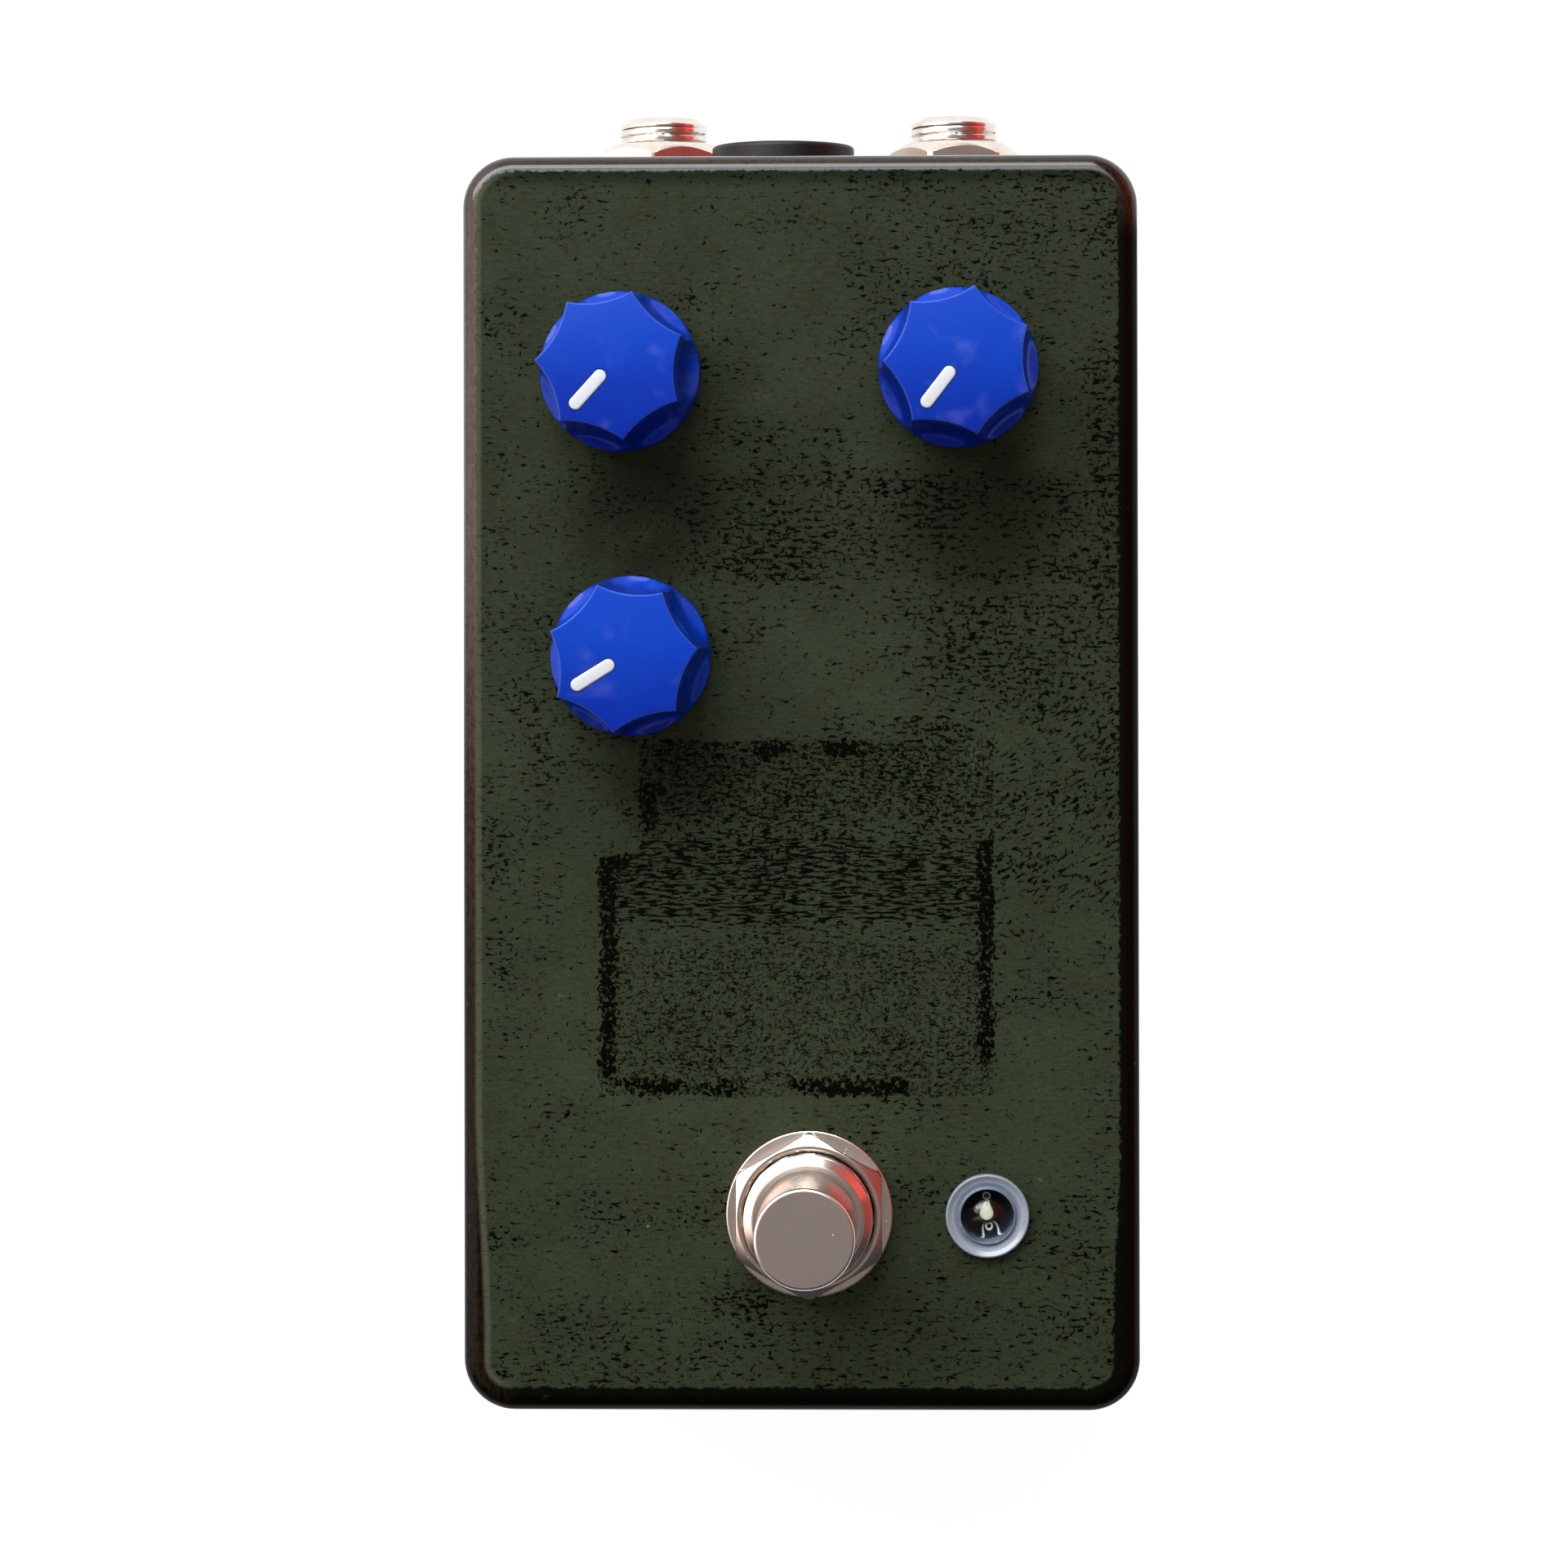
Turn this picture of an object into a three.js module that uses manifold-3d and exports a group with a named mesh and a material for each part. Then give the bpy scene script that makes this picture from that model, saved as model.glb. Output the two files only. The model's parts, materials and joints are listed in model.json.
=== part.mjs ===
// A guitar effects pedal: a die-cast box with three fluted knobs, a foot switch and an indicator
// lamp on its panel, and two audio jacks and a power jack in its back wall.
// Millimetres, +Z up, +Y towards the jacks. The origin is on the floor, under the middle of the
// whole footprint, jacks included.
import * as THREE from "three";
import { mergeVertices } from "three/addons/utils/BufferGeometryUtils.js";
import Module from "manifold-3d";

// Box
const panelWidth = 63.5;
const panelLength = 118;
const shellHeight = 36;
const wallDraft = THREE.MathUtils.degToRad(2);
const wallThickness = 2.3;
const panelThickness = 2.3;
const cornerRadius = 4.75;
const edgeRadius = 1.6;
const innerEdgeRadius = 1.2;
const bossRadius = 4;
const bossInset = 6.2;
const bossHoleDepth = 11;

// Back cover, its screws and the feet
const coverThickness = 3.3;
const coverEdgeRadius = 0.9;
const tongueHeight = 1.5;
const tongueWidth = 1.6;
const tongueClearance = 0.3;
const screwShankRadius = 1.6;
const screwHeadRadius = 3.2;
const screwHeadHeight = 1.9;
const screwHeadEdge = 0.3;
const screwSunk = 0.3;
const screwLength = 11.5;
const screwPoint = 0.8;
const screwRecessWidth = 0.8;
const screwRecessSpan = 3.4;
const screwRecessDepth = 1.2;
const screwClearance = 0.25;
const footHeight = 2.8;
const footRadius = 5;
const footTipRadius = 4;
const footRound = 0.8;
const footInsetX = 9.5;
const footInsetY = 18;

// Knobs
const knobBaseRadius = 7.47;
const knobTopRadius = 6.98;
const knobHeight = 11.5;
const knobGap = 0.8;
const knobSkirtHeight = 1;
const knobCrown = 0.25;
const knobEdgeRadius = 0.25;
const fluteCount = 7;
const fluteRadius = 9;
const fluteFloorRadius = 5.76;
const fluteFootHeight = 2.1;
const fluteScoopHeight = 3;
const nutPocketRadius = 6.1;
const nutPocketTop = 2.9;
const sleevePocketRadius = 4.2;
const sleevePocketTop = 5.1;
const knobBoreTop = 10.6;
const pointerWidth = 1.2;
const pointerStart = 1.45;
const pointerEnd = 4.75;
const pointerDepth = 0.6;
const pointerProud = 0.08;
const pointerClearance = 0.06;
const setScrewRadius = 1.4;
const setScrewClearance = 0.15;
const setScrewHeight = 7.3;
const setScrewSocketWidth = 1.3;
const setScrewSocketDepth = 1;
const setScrewSunk = 0.4;

// Potentiometers
const shaftRadius = 3;
const shaftClearance = 0.15;
const shaftTop = 10.3;
const shaftChamfer = 0.4;
const potSleeveRadius = 3.5;
const potSleeveTop = 4.6;
const potPlateRadius = 8.2;
const potPlateThickness = 1.2;
const potNutAcrossFlats = 10;
const potNutThickness = 2;
const potWaferRadius = 8.2;
const potWaferThickness = 1.2;
const potCoverRadius = 8.2;
const potCoverDepth = 5.8;
const potCoverWall = 0.5;
const potCoverRound = 0.8;
const potRotorRadius = 6.4;
const potRotorThickness = 1.6;
const potRotorGap = 0.5;
const potTailRadius = 1.6;
const potTailGap = 0.4;
const potTongueWidth = 13;
const potTongueReach = 11.8;
const potPinReach = 10.6;
const potPinPitch = 5;
const potPinWidth = 1;
const potPinThickness = 0.5;

// Foot switch
const switchSleeveRadius = 6;
const switchSleeveTop = 5.2;
const switchSleeveChamfer = 0.75;
const switchLipRadius = 5.1;
const switchLipHeight = 1;
const switchBoreRadius = 5.4;
const switchFrameWidth = 17.4;
const switchFrameThickness = 1;
const switchFrameClearance = 3.8;
const switchWasherRadius = 7.8;
const switchWasherThickness = 0.8;
const switchNutAcrossFlats = 13.6;
const switchNutThickness = 2.2;
const switchLockNutThickness = 2;
const switchNutClearance = 0.15;
const buttonRadius = 4.6;
const buttonTop = 15;
const buttonChamfer = 0.45;
const buttonFlangeRadius = 5.25;
const buttonFlangeHeight = 1.2;
const buttonGap = 0.15;
const buttonStemRadius = 2.2;
const buttonStemLength = 11.4;
const switchTravel = 3;
const stemClearance = 0.4;
const springRadius = 3.7;
const springWireRadius = 0.4;
const springTurns = 6;
const springGap = 0.1;
const switchCaseWidth = 17;
const switchCaseHeight = 12.5;
const switchCaseRadius = 1;
const lugWidth = 2.4;
const lugThickness = 0.8;
const lugLength = 4.6;
const lugPitchX = 4.8;
const lugPitchY = 5.2;
const stemPocketRadius = 3;

// Lamp
const bezelFlangeRadius = 3.95;
const bezelFlangeHeight = 1;
const bezelEdgeHeight = 0.45;
const bezelRimInset = 0.45;
const bezelDishInset = 1.05;
const bezelDishHeight = 0.55;
const bezelLipHeight = 0.8;
const bezelLipWidth = 0.2;
const bezelBarrelRadius = 3.1;
const bezelBarrelLength = 6.6;
const bezelClearance = 0.1;
const ledRadius = 2.45;
const ledTop = 1;
const ledFlangeRadius = 2.9;
const ledFlangeHeight = 1;
const ledLegWidth = 0.5;
const ledLegPitch = 2.54;

// Audio jacks
const jackSleeveRadius = 4.4;
const jackSleeveReach = 5.7;
const jackSleeveChamfer = 0.8;
const jackBoreRadius = 3.25;
const jackNutAcrossFlats = 12;
const jackNutThickness = 2.8;
const jackNutTurns = { output: -5.9, input: -20.9 };
const jackWallGap = 0.3;
const jackShoulderRadius = 6.4;
const jackShoulderThickness = 1.2;
const jackArmWidth = 8;
const jackArmDrop = 8.4;
const jackArmGap = 1.8;
const jackArmThickness = 1.1;
const jackArmLength = 17;
const jackBlockWidth = 7;
const jackBlockLength = 8;
const contactDrop = 4.2;
const contactThickness = 0.4;
const contactWidth = 4;
const contactStart = 9.5;
const contactBend = 19.5;
const contactPoint = 23.5;
const contactEnd = 26;
const contactPointDrop = 2.6;
const contactLugReach = 6.2;
const contactLugWidth = 2.4;

// Power jack
const powerFlangeRadius = 6.9;
const powerFlangeHeight = 1.6;
const powerFlangeRound = 0.8;
const powerBarrelRadius = 6;
const powerBarrelLength = 13;
const powerSocketRadius = 3.15;
const powerSocketDepth = 9.5;
const powerPinRadius = 1.05;
const powerPinSunk = 1;
const powerPinClearance = 0.15;
const powerNutAcrossFlats = 13.6;
const powerNutThickness = 2.5;
const powerLugLength = 3.4;
const powerLugWidth = 2.4;
const powerLugThickness = 0.5;

// Circuit boards and leads
const boardThickness = 1.6;
const boardStandoff = 2;
const boardMargin = 3.6;
const boardHoleRadius = 0.9;
const chipWidth = 6.4;
const chipLength = 9.4;
const chipHeight = 3.4;
const capacitorRadius = 2.5;
const capacitorHeight = 7;
const filmWidth = 7.2;
const filmDepth = 2.6;
const filmHeight = 6.4;
const resistorLength = 6.4;
const resistorWidth = 2.3;
const resistorRow = 3.6;
const switchBoardWidth = 32;
const switchBoardLength = 22;
const switchBoardShift = 6;
const switchBoardGap = 1.4;
const leadRadius = 0.65;
const leadSides = 6;
const leadSteps = 10;
const leadGap = 0.3;
const ribbonWidth = 9;
const ribbonThickness = 1.2;
const ribbonTail = 1.5;

// Where the controls stand on the panel, as shares of its width and length from its middle, and
// how far each pointer is turned from the panel's top, in degrees.
const knobs = [
  { name: "upper_left", placeShares: [-0.2625, 0.326], pointerTurn: 138 },
  { name: "upper_right", placeShares: [0.2342, 0.3285], pointerTurn: 142.4 },
  { name: "lower_left", placeShares: [-0.2471, 0.1013], pointerTurn: 121.8 },
];
const switchShares = [0.0128, -0.3416];
const ledShares = [0.2751, -0.3432];
// Where the jacks stand in the back wall, as shares of the room from its middle to a screw boss,
// and the power jack's depth as a share of the audio jacks' depth.
const jackShares = { output: -0.88, power: -0.1189, input: 0.8984 };
const powerDepthShare = 0.5144;
// The circuit board's far edges, and its parts as shares of its own length and width.
const boardFrontShare = -0.2;
const chipShares = [
  [0.24, 0.05],
  [0.24, -0.28],
];
const capacitorShares = [
  [0.02, 0.3],
  [0.02, 0.12],
  [-0.36, 0.14],
  [-0.2, 0.14],
];
const filmShares = [
  [0.02, -0.12],
  [0.02, -0.25],
  [-0.3, 0.3],
];
const resistorBankShare = [-0.3, -0.42];
const resistorCount = 5;
const chipPinShare = 0.12;

// How finely round shapes are cut.
const cornerSteps = 5;
const plateCornerSteps = 2;
const edgeSteps = 3;
const innerEdgeSteps = 2;
const fineSides = 28;
const roundSides = 20;
const innerSides = 16;
const smallSides = 10;
const cutterSides = 28;
const pinSides = 5;
const scoopSteps = 3;
const springSteps = 7;
const springSides = 5;
const domeSteps = 4;
const cutOverrun = 0.5;
const mergeTolerance = 1e-4;

const quarterTurn = Math.PI / 2;
const halfTurn = Math.PI;
const fullTurn = 2 * Math.PI;
const hexSides = 6;

// Sizes that follow from the ones above.
const slope = Math.tan(wallDraft);
const potDepth = panelThickness + potPlateThickness + potWaferThickness + potCoverDepth;
const boardDepth = potDepth + boardStandoff;
const coverInside = shellHeight - tongueHeight;
const jackDepth = coverInside - jackArmDrop - jackArmGap;
const powerDepth = powerDepthShare * jackDepth;
const rimWidth = panelWidth + 2 * shellHeight * slope;
const rimLength = panelLength + 2 * shellHeight * slope;
const bossX = rimWidth / 2 - bossInset;
const bossY = rimLength / 2 - bossInset;
const jackRoom = bossX - bossRadius - jackShoulderRadius;
const switchFrameTop = panelThickness + switchFrameClearance;
const switchFloor = switchFrameTop + switchFrameThickness;
const switchBoardDepth = switchFloor + switchCaseHeight + switchBoardGap;
const panelHeight = footHeight + coverThickness + shellHeight;

const wasm = await Module();
wasm.setup();

// A closed three.js geometry as a solid that can be joined and cut.
function solid(geometry) {
  const plain = geometry.clone();
  plain.deleteAttribute("normal");
  plain.deleteAttribute("uv");
  const merged = mergeVertices(plain, mergeTolerance);
  return new wasm.Manifold(
    new wasm.Mesh({
      numProp: 3,
      vertProperties: merged.attributes.position.array,
      triVerts: new Uint32Array(merged.index.array),
    }),
  );
}

// A solid as a flat-shaded three.js geometry.
function geometryOf(body) {
  const made = body.getMesh();
  const geometry = new THREE.BufferGeometry();
  geometry.setAttribute("position", new THREE.BufferAttribute(made.vertProperties, 3));
  geometry.setIndex(new THREE.BufferAttribute(made.triVerts, 1));
  const flat = geometry.toNonIndexed();
  flat.computeVertexNormals();
  return flat;
}

// One shape that is the union of several.
function join(...shapes) {
  return geometryOf(shapes.map(solid).reduce((sum, one) => sum.add(one)));
}

// A shape with others cut away from it.
function cut(shape, ...tools) {
  return geometryOf(tools.map(solid).reduce((left, one) => left.subtract(one), solid(shape)));
}

// What two shapes have in common.
function common(shape, other) {
  return geometryOf(solid(shape).intersect(solid(other)));
}

// A profile of [radius, height] pairs turned about Z. It runs upwards on its outside.
function revolve(profile, sides = roundSides) {
  const points = profile.map(([radius, height]) => new THREE.Vector2(radius, height));
  return new THREE.LatheGeometry(points, sides).rotateX(quarterTurn);
}

// A round bar about Z between two heights.
function rod(radius, bottom, top, sides = roundSides) {
  return revolve([[0, bottom], [radius, bottom], [radius, top], [0, top]], sides);
}

// A round tube about Z between two heights.
function tube(inner, outer, bottom, top, sides = roundSides) {
  const profile = [[inner, bottom], [outer, bottom], [outer, top], [inner, top], [inner, bottom]];
  return revolve(profile, sides);
}

// A box given by its middle in X and Y, its sides, and its bottom and top.
function block(x, y, width, length, bottom, top) {
  const height = top - bottom;
  return new THREE.BoxGeometry(width, length, height).translate(x, y, bottom + height / 2);
}

// A flat shape, drawn in X and Y, raised between two heights.
function raise(shape, bottom, top, curveSegments = cornerSteps) {
  const settings = { depth: top - bottom, bevelEnabled: false, curveSegments };
  return new THREE.ExtrudeGeometry(shape, settings).translate(0, 0, bottom);
}

// A rectangle with round corners about the origin.
function roundedRectangle(width, length, radius) {
  const x = width / 2 - radius;
  const y = length / 2 - radius;
  const shape = new THREE.Shape();
  shape.absarc(x, y, radius, 0, quarterTurn);
  shape.absarc(-x, y, radius, quarterTurn, halfTurn);
  shape.absarc(-x, -y, radius, halfTurn, halfTurn + quarterTurn);
  shape.absarc(x, -y, radius, halfTurn + quarterTurn, fullTurn);
  return shape;
}

// A closed skin through rounded rectangles, each { width, length, radius, height }, bottom first.
function loft(sections) {
  const positions = [];
  const perRing = 4 * (cornerSteps + 1);
  for (const { width, length, radius, height } of sections) {
    for (let corner = 0; corner < 4; corner += 1) {
      const x = (corner === 0 || corner === 3 ? 1 : -1) * (width / 2 - radius);
      const y = (corner < 2 ? 1 : -1) * (length / 2 - radius);
      for (let step = 0; step <= cornerSteps; step += 1) {
        const angle = (corner + step / cornerSteps) * quarterTurn;
        positions.push(x + radius * Math.cos(angle), y + radius * Math.sin(angle), height);
      }
    }
  }
  const faces = [];
  const last = (sections.length - 1) * perRing;
  for (let i = 1; i < perRing - 1; i += 1) {
    faces.push(0, i + 1, i);
    faces.push(last, last + i, last + i + 1);
  }
  for (let ring = 0; ring < last; ring += perRing) {
    for (let i = 0; i < perRing; i += 1) {
      const a = ring + i;
      const b = ring + ((i + 1) % perRing);
      faces.push(a, b, b + perRing, a, b + perRing, a + perRing);
    }
  }
  const geometry = new THREE.BufferGeometry();
  geometry.setAttribute("position", new THREE.Float32BufferAttribute(positions, 3));
  geometry.setIndex(faces);
  return geometry;
}

// The box's outline at a depth under the panel, drawn in by an inset.
function outline(depth, inset) {
  const grown = 2 * (depth * slope - inset);
  return {
    width: panelWidth + grown,
    length: panelLength + grown,
    radius: cornerRadius + grown / 2,
    height: -depth,
  };
}

// Outlines that round a top edge of the box, from its wall to its flat.
function roundedEdge(depth, inset, radius, steps) {
  const rings = [];
  for (let step = 0; step <= steps; step += 1) {
    const angle = (step / steps) * quarterTurn;
    const down = radius * (1 - Math.sin(angle));
    const inwards = radius * (1 - Math.cos(angle));
    rings.push(outline(depth + down, inset + inwards));
  }
  return rings;
}

// A hexagonal nut about Z, bevelled on its top and, if asked, on its underside too.
function nut(acrossFlats, bore, bottom, top, bothSides, sides = roundSides) {
  const corner = acrossFlats / 2 / Math.cos(halfTurn / hexSides);
  const flat = acrossFlats / 2;
  const bevel = (corner - flat) * Math.tan(halfTurn / hexSides);
  const under = bothSides ? [[0, bottom], [flat, bottom], [corner, bottom + bevel]]
    : [[0, bottom], [corner, bottom]];
  const lens = revolve([...under, [corner, top - bevel], [flat, top], [0, top]], sides);
  const hexagon = rod(corner, bottom, top, hexSides);
  const hole = rod(bore, bottom - cutOverrun, top + cutOverrun, sides);
  return cut(common(hexagon, lens), hole);
}

const finish = (color, roughness, metalness) =>
  new THREE.MeshStandardMaterial({ color, roughness, metalness });
const paint = finish(0x2e3325, 0.55, 0.1);
const knobPlastic = finish(0x1532b0, 0.35, 0);
const pointerPlastic = finish(0xf4f4f4, 0.4, 0);
const nickel = finish(0xc9c4be, 0.25, 1);
const steel = finish(0x9a9a98, 0.4, 1);
const blackPlastic = finish(0x18181a, 0.5, 0);
const caseBlue = finish(0x2148a8, 0.5, 0);
const rubber = finish(0x141414, 0.9, 0);
const frosted = finish(0xd5dae2, 0.35, 0);
const clear = finish(0xe8ead0, 0.1, 0);
const phenolic = finish(0x7a4a28, 0.7, 0);
const boardGreen = finish(0x1c4a2c, 0.6, 0);
const brass = finish(0xb8924a, 0.35, 1);
const leadRed = finish(0xa31d1d, 0.6, 0);
const leadWhite = finish(0xd8d8d2, 0.6, 0);
const leadGrey = finish(0x8b8f94, 0.6, 0);

// A named piece of the pedal.
function piece(name, geometry, material) {
  const mesh = new THREE.Mesh(geometry, material);
  mesh.name = name;
  return mesh;
}

// Calls a maker for each corner of a rectangle.
function atCorners(x, y, make) {
  for (const [side, signX] of [["left", -1], ["right", 1]]) {
    for (const [end, signY] of [["front", -1], ["back", 1]]) {
      make(`${end}_${side}`, signX * x, signY * y);
    }
  }
}

// Places on the panel, in the panel's own frame.
const place = ([shareX, shareY]) => [shareX * panelWidth, shareY * panelLength];
const switchPlace = place(switchShares);
const ledPlace = place(ledShares);
const jackPlaces = {
  output: jackShares.output * jackRoom,
  power: jackShares.power * jackRoom,
  input: jackShares.input * jackRoom,
};

// A frame on the back wall at a depth under the panel: +Z points out of the wall and +Y down it.
function onBackWall(x, depth) {
  const group = new THREE.Group();
  group.position.set(x, panelLength / 2 + depth * slope, -depth);
  group.rotation.x = wallDraft - quarterTurn;
  return group;
}

// A cutter for a round hole through the back wall.
function backHole(x, depth, radius) {
  const hole = rod(radius, -wallThickness - cutOverrun, cutOverrun);
  const group = onBackWall(x, depth);
  group.updateMatrix();
  return hole.applyMatrix4(group.matrix);
}

// The die-cast box: drafted walls, rounded edges, screw bosses, and holes for all that it carries.
function enclosure() {
  const skin = loft([outline(shellHeight, 0), ...roundedEdge(0, 0, edgeRadius, edgeSteps)]);
  const opening = outline(shellHeight + cutOverrun, wallThickness);
  const ceiling = roundedEdge(panelThickness, wallThickness, innerEdgeRadius, innerEdgeSteps);
  const bosses = [];
  const screwHoles = [];
  atCorners(bossX, bossY, (_, x, y) => {
    bosses.push(rod(bossRadius, -coverInside, 0, smallSides).translate(x, y, 0));
    const holeRadius = screwShankRadius + screwClearance;
    const top = bossHoleDepth - coverInside;
    screwHoles.push(rod(holeRadius, -shellHeight, top, smallSides).translate(x, y, 0));
  });
  const hollow = cut(loft([opening, ...ceiling]), ...bosses);
  const panelHole = (radius, [x, y]) =>
    rod(radius, -panelThickness - cutOverrun, cutOverrun).translate(x, y, 0);
  return cut(
    skin,
    hollow,
    ...screwHoles,
    ...knobs.map(({ placeShares }) =>
      panelHole(potSleeveRadius + shaftClearance, place(placeShares))),
    panelHole(switchSleeveRadius + switchNutClearance, switchPlace),
    panelHole(bezelBarrelRadius + bezelClearance, ledPlace),
    backHole(jackPlaces.output, jackDepth, jackSleeveRadius + jackWallGap),
    backHole(jackPlaces.input, jackDepth, jackSleeveRadius + jackWallGap),
    backHole(jackPlaces.power, powerDepth, powerBarrelRadius + jackWallGap),
  );
}

// The back cover: a plate with a tongue inside the walls, pads under the bosses, and screw holes.
function backCover() {
  const rim = { ...outline(shellHeight, 0), height: 0 };
  const edge = [];
  for (let step = 0; step <= edgeSteps; step += 1) {
    const angle = (step / edgeSteps) * quarterTurn;
    const inwards = coverEdgeRadius * (1 - Math.sin(angle));
    edge.push({
      width: rim.width - 2 * inwards,
      length: rim.length - 2 * inwards,
      radius: rim.radius - inwards,
      height: coverEdgeRadius * (1 - Math.cos(angle)) - coverThickness,
    });
  }
  const plate = loft([...edge, rim]);
  const seat = (inset, top) => {
    const { width, length, radius } = outline(coverInside, wallThickness + inset);
    return raise(roundedRectangle(width, length, radius), -tongueHeight, top, plateCornerSteps);
  };
  const tongue = cut(
    seat(tongueClearance, tongueHeight),
    seat(tongueClearance + tongueWidth, tongueHeight + cutOverrun),
  );
  const holes = [];
  const pads = [];
  atCorners(bossX, bossY, (_, x, y) => {
    pads.push(rod(bossRadius, -tongueHeight, tongueHeight, smallSides).translate(x, y, 0));
    const shank = screwShankRadius + screwClearance;
    const head = screwHeadRadius + screwClearance;
    const cone = screwSunk + screwHeadHeight;
    const profile = [
      [0, -cutOverrun],
      [head, -cutOverrun],
      [head, screwSunk + screwHeadEdge],
      [shank, cone],
      [shank, coverThickness + tongueHeight + cutOverrun],
      [0, coverThickness + tongueHeight + cutOverrun],
    ];
    holes.push(revolve(profile, smallSides).translate(x, y, -coverThickness));
  });
  const raised = common(join(tongue, ...pads), seat(tongueClearance, tongueHeight));
  return cut(join(plate, raised), ...holes);
}

// A countersunk screw with a cross recess, head down, its face at height zero.
function coverScrew() {
  const body = revolve(
    [
      [0, 0],
      [screwHeadRadius, 0],
      [screwHeadRadius, screwHeadEdge],
      [screwShankRadius, screwHeadHeight],
      [screwShankRadius, screwLength - screwPoint],
      [screwShankRadius - screwPoint, screwLength],
      [0, screwLength],
    ],
    smallSides,
  );
  const low = -cutOverrun;
  return cut(
    body,
    block(0, 0, screwRecessSpan, screwRecessWidth, low, screwRecessDepth),
    block(0, 0, screwRecessWidth, screwRecessSpan, low, screwRecessDepth),
  );
}

// A stuck-on rubber foot, its top at height zero.
function rubberFoot() {
  return revolve(
    [
      [0, -footHeight],
      [footTipRadius - footRound, -footHeight],
      [footTipRadius, footRound - footHeight],
      [footRadius, 0],
      [0, 0],
    ],
    innerSides,
  );
}

// The slot shape of a pointer, drawn from the knob's middle towards +Y.
function pointerShape(clearance) {
  const radius = pointerWidth / 2 + clearance;
  const shape = new THREE.Shape();
  shape.absarc(0, pointerEnd, radius, 0, halfTurn);
  shape.absarc(0, pointerStart, radius, halfTurn, fullTurn);
  return shape;
}

// A fluted knob: a tapered, crowned body with seven scooped flutes, hollow under its skirt.
function knob() {
  const foot = knobGap;
  const top = knobGap + knobHeight;
  const body = revolve(
    [
      [0, foot],
      [knobBaseRadius, foot],
      [knobBaseRadius, foot + knobSkirtHeight],
      [knobTopRadius, top - knobEdgeRadius],
      [knobTopRadius - knobEdgeRadius, top],
      [knobTopRadius / 2, top + knobCrown * (3 / 4)],
      [0, top + knobCrown],
    ],
    fineSides,
  );
  const flutes = [];
  for (let flute = 0; flute < fluteCount; flute += 1) {
    const angle = ((flute + 1 / 2) / fluteCount) * fullTurn;
    const away = fluteFloorRadius + fluteRadius;
    flutes.push(fluteCutter().translate(0, away, foot).rotateZ(angle));
  }
  const low = foot - cutOverrun;
  const boreRadius = shaftRadius + shaftClearance;
  const screwRadius = setScrewRadius + setScrewClearance;
  const screwHole = rod(screwRadius, 0, knobBaseRadius + cutOverrun, smallSides)
    .rotateX(quarterTurn)
    .translate(0, 0, setScrewHeight);
  const groove = raise(
    pointerShape(pointerClearance),
    top - pointerDepth - pointerClearance,
    top + knobCrown + cutOverrun,
  );
  return cut(
    body,
    ...flutes,
    rod(nutPocketRadius, low, nutPocketTop, smallSides),
    rod(sleevePocketRadius, low, sleevePocketTop, smallSides),
    rod(boreRadius, low, knobBoreTop, innerSides),
    screwHole,
    groove,
  );
}

// The tool that scoops one flute: straight above, and rounded in at its foot. Its foot is at the
// knob's foot.
function fluteCutter() {
  const reach = knobBaseRadius - fluteFloorRadius + pointerClearance;
  const profile = [[0, fluteFootHeight]];
  for (let step = 0; step <= scoopSteps; step += 1) {
    const angle = (step / scoopSteps) * quarterTurn;
    profile.push([
      fluteRadius - reach * (1 - Math.sin(angle)),
      fluteFootHeight + fluteScoopHeight * (1 - Math.cos(angle)),
    ]);
  }
  const top = knobHeight + knobCrown + cutOverrun;
  profile.push([fluteRadius, top], [0, top]);
  return revolve(profile, cutterSides);
}

function pointer() {
  const top = knobGap + knobHeight;
  return raise(pointerShape(0), top - pointerDepth, top + knobCrown + pointerProud);
}

// A socket set screw in the knob's back, tip towards the shaft.
function setScrew() {
  const tip = shaftRadius + 2 * shaftClearance;
  const face = fluteFloorRadius - setScrewSunk;
  const socket = rod(setScrewSocketWidth / 2, face - setScrewSocketDepth, face + cutOverrun, hexSides);
  return cut(rod(setScrewRadius, tip, face, smallSides), socket)
    .rotateX(quarterTurn)
    .translate(0, 0, setScrewHeight);
}

// The turning shaft of a potentiometer, with the rotor that carries its wiper.
function potShaft() {
  const waferBottom = -(panelThickness + potPlateThickness + potWaferThickness);
  const rotorTop = waferBottom - potRotorGap;
  const rotorBottom = rotorTop - potRotorThickness;
  const tail = potTailGap + potCoverWall - potDepth;
  return revolve(
    [
      [0, tail],
      [potTailRadius, tail],
      [potTailRadius, rotorBottom],
      [potRotorRadius, rotorBottom],
      [potRotorRadius, rotorTop],
      [shaftRadius, rotorTop],
      [shaftRadius, shaftTop - shaftChamfer],
      [shaftRadius - shaftChamfer, shaftTop],
      [0, shaftTop],
    ],
    innerSides,
  );
}

// The threaded sleeve of a potentiometer with its front plate under the panel.
function potSleeve() {
  const bore = shaftRadius + shaftClearance;
  const plateTop = -panelThickness;
  const plateBottom = plateTop - potPlateThickness;
  const profile = [
    [bore, plateBottom],
    [potPlateRadius, plateBottom],
    [potPlateRadius, plateTop],
    [potSleeveRadius, plateTop],
    [potSleeveRadius, potSleeveTop],
    [bore, potSleeveTop],
    [bore, plateBottom],
  ];
  return revolve(profile, innerSides);
}

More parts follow.
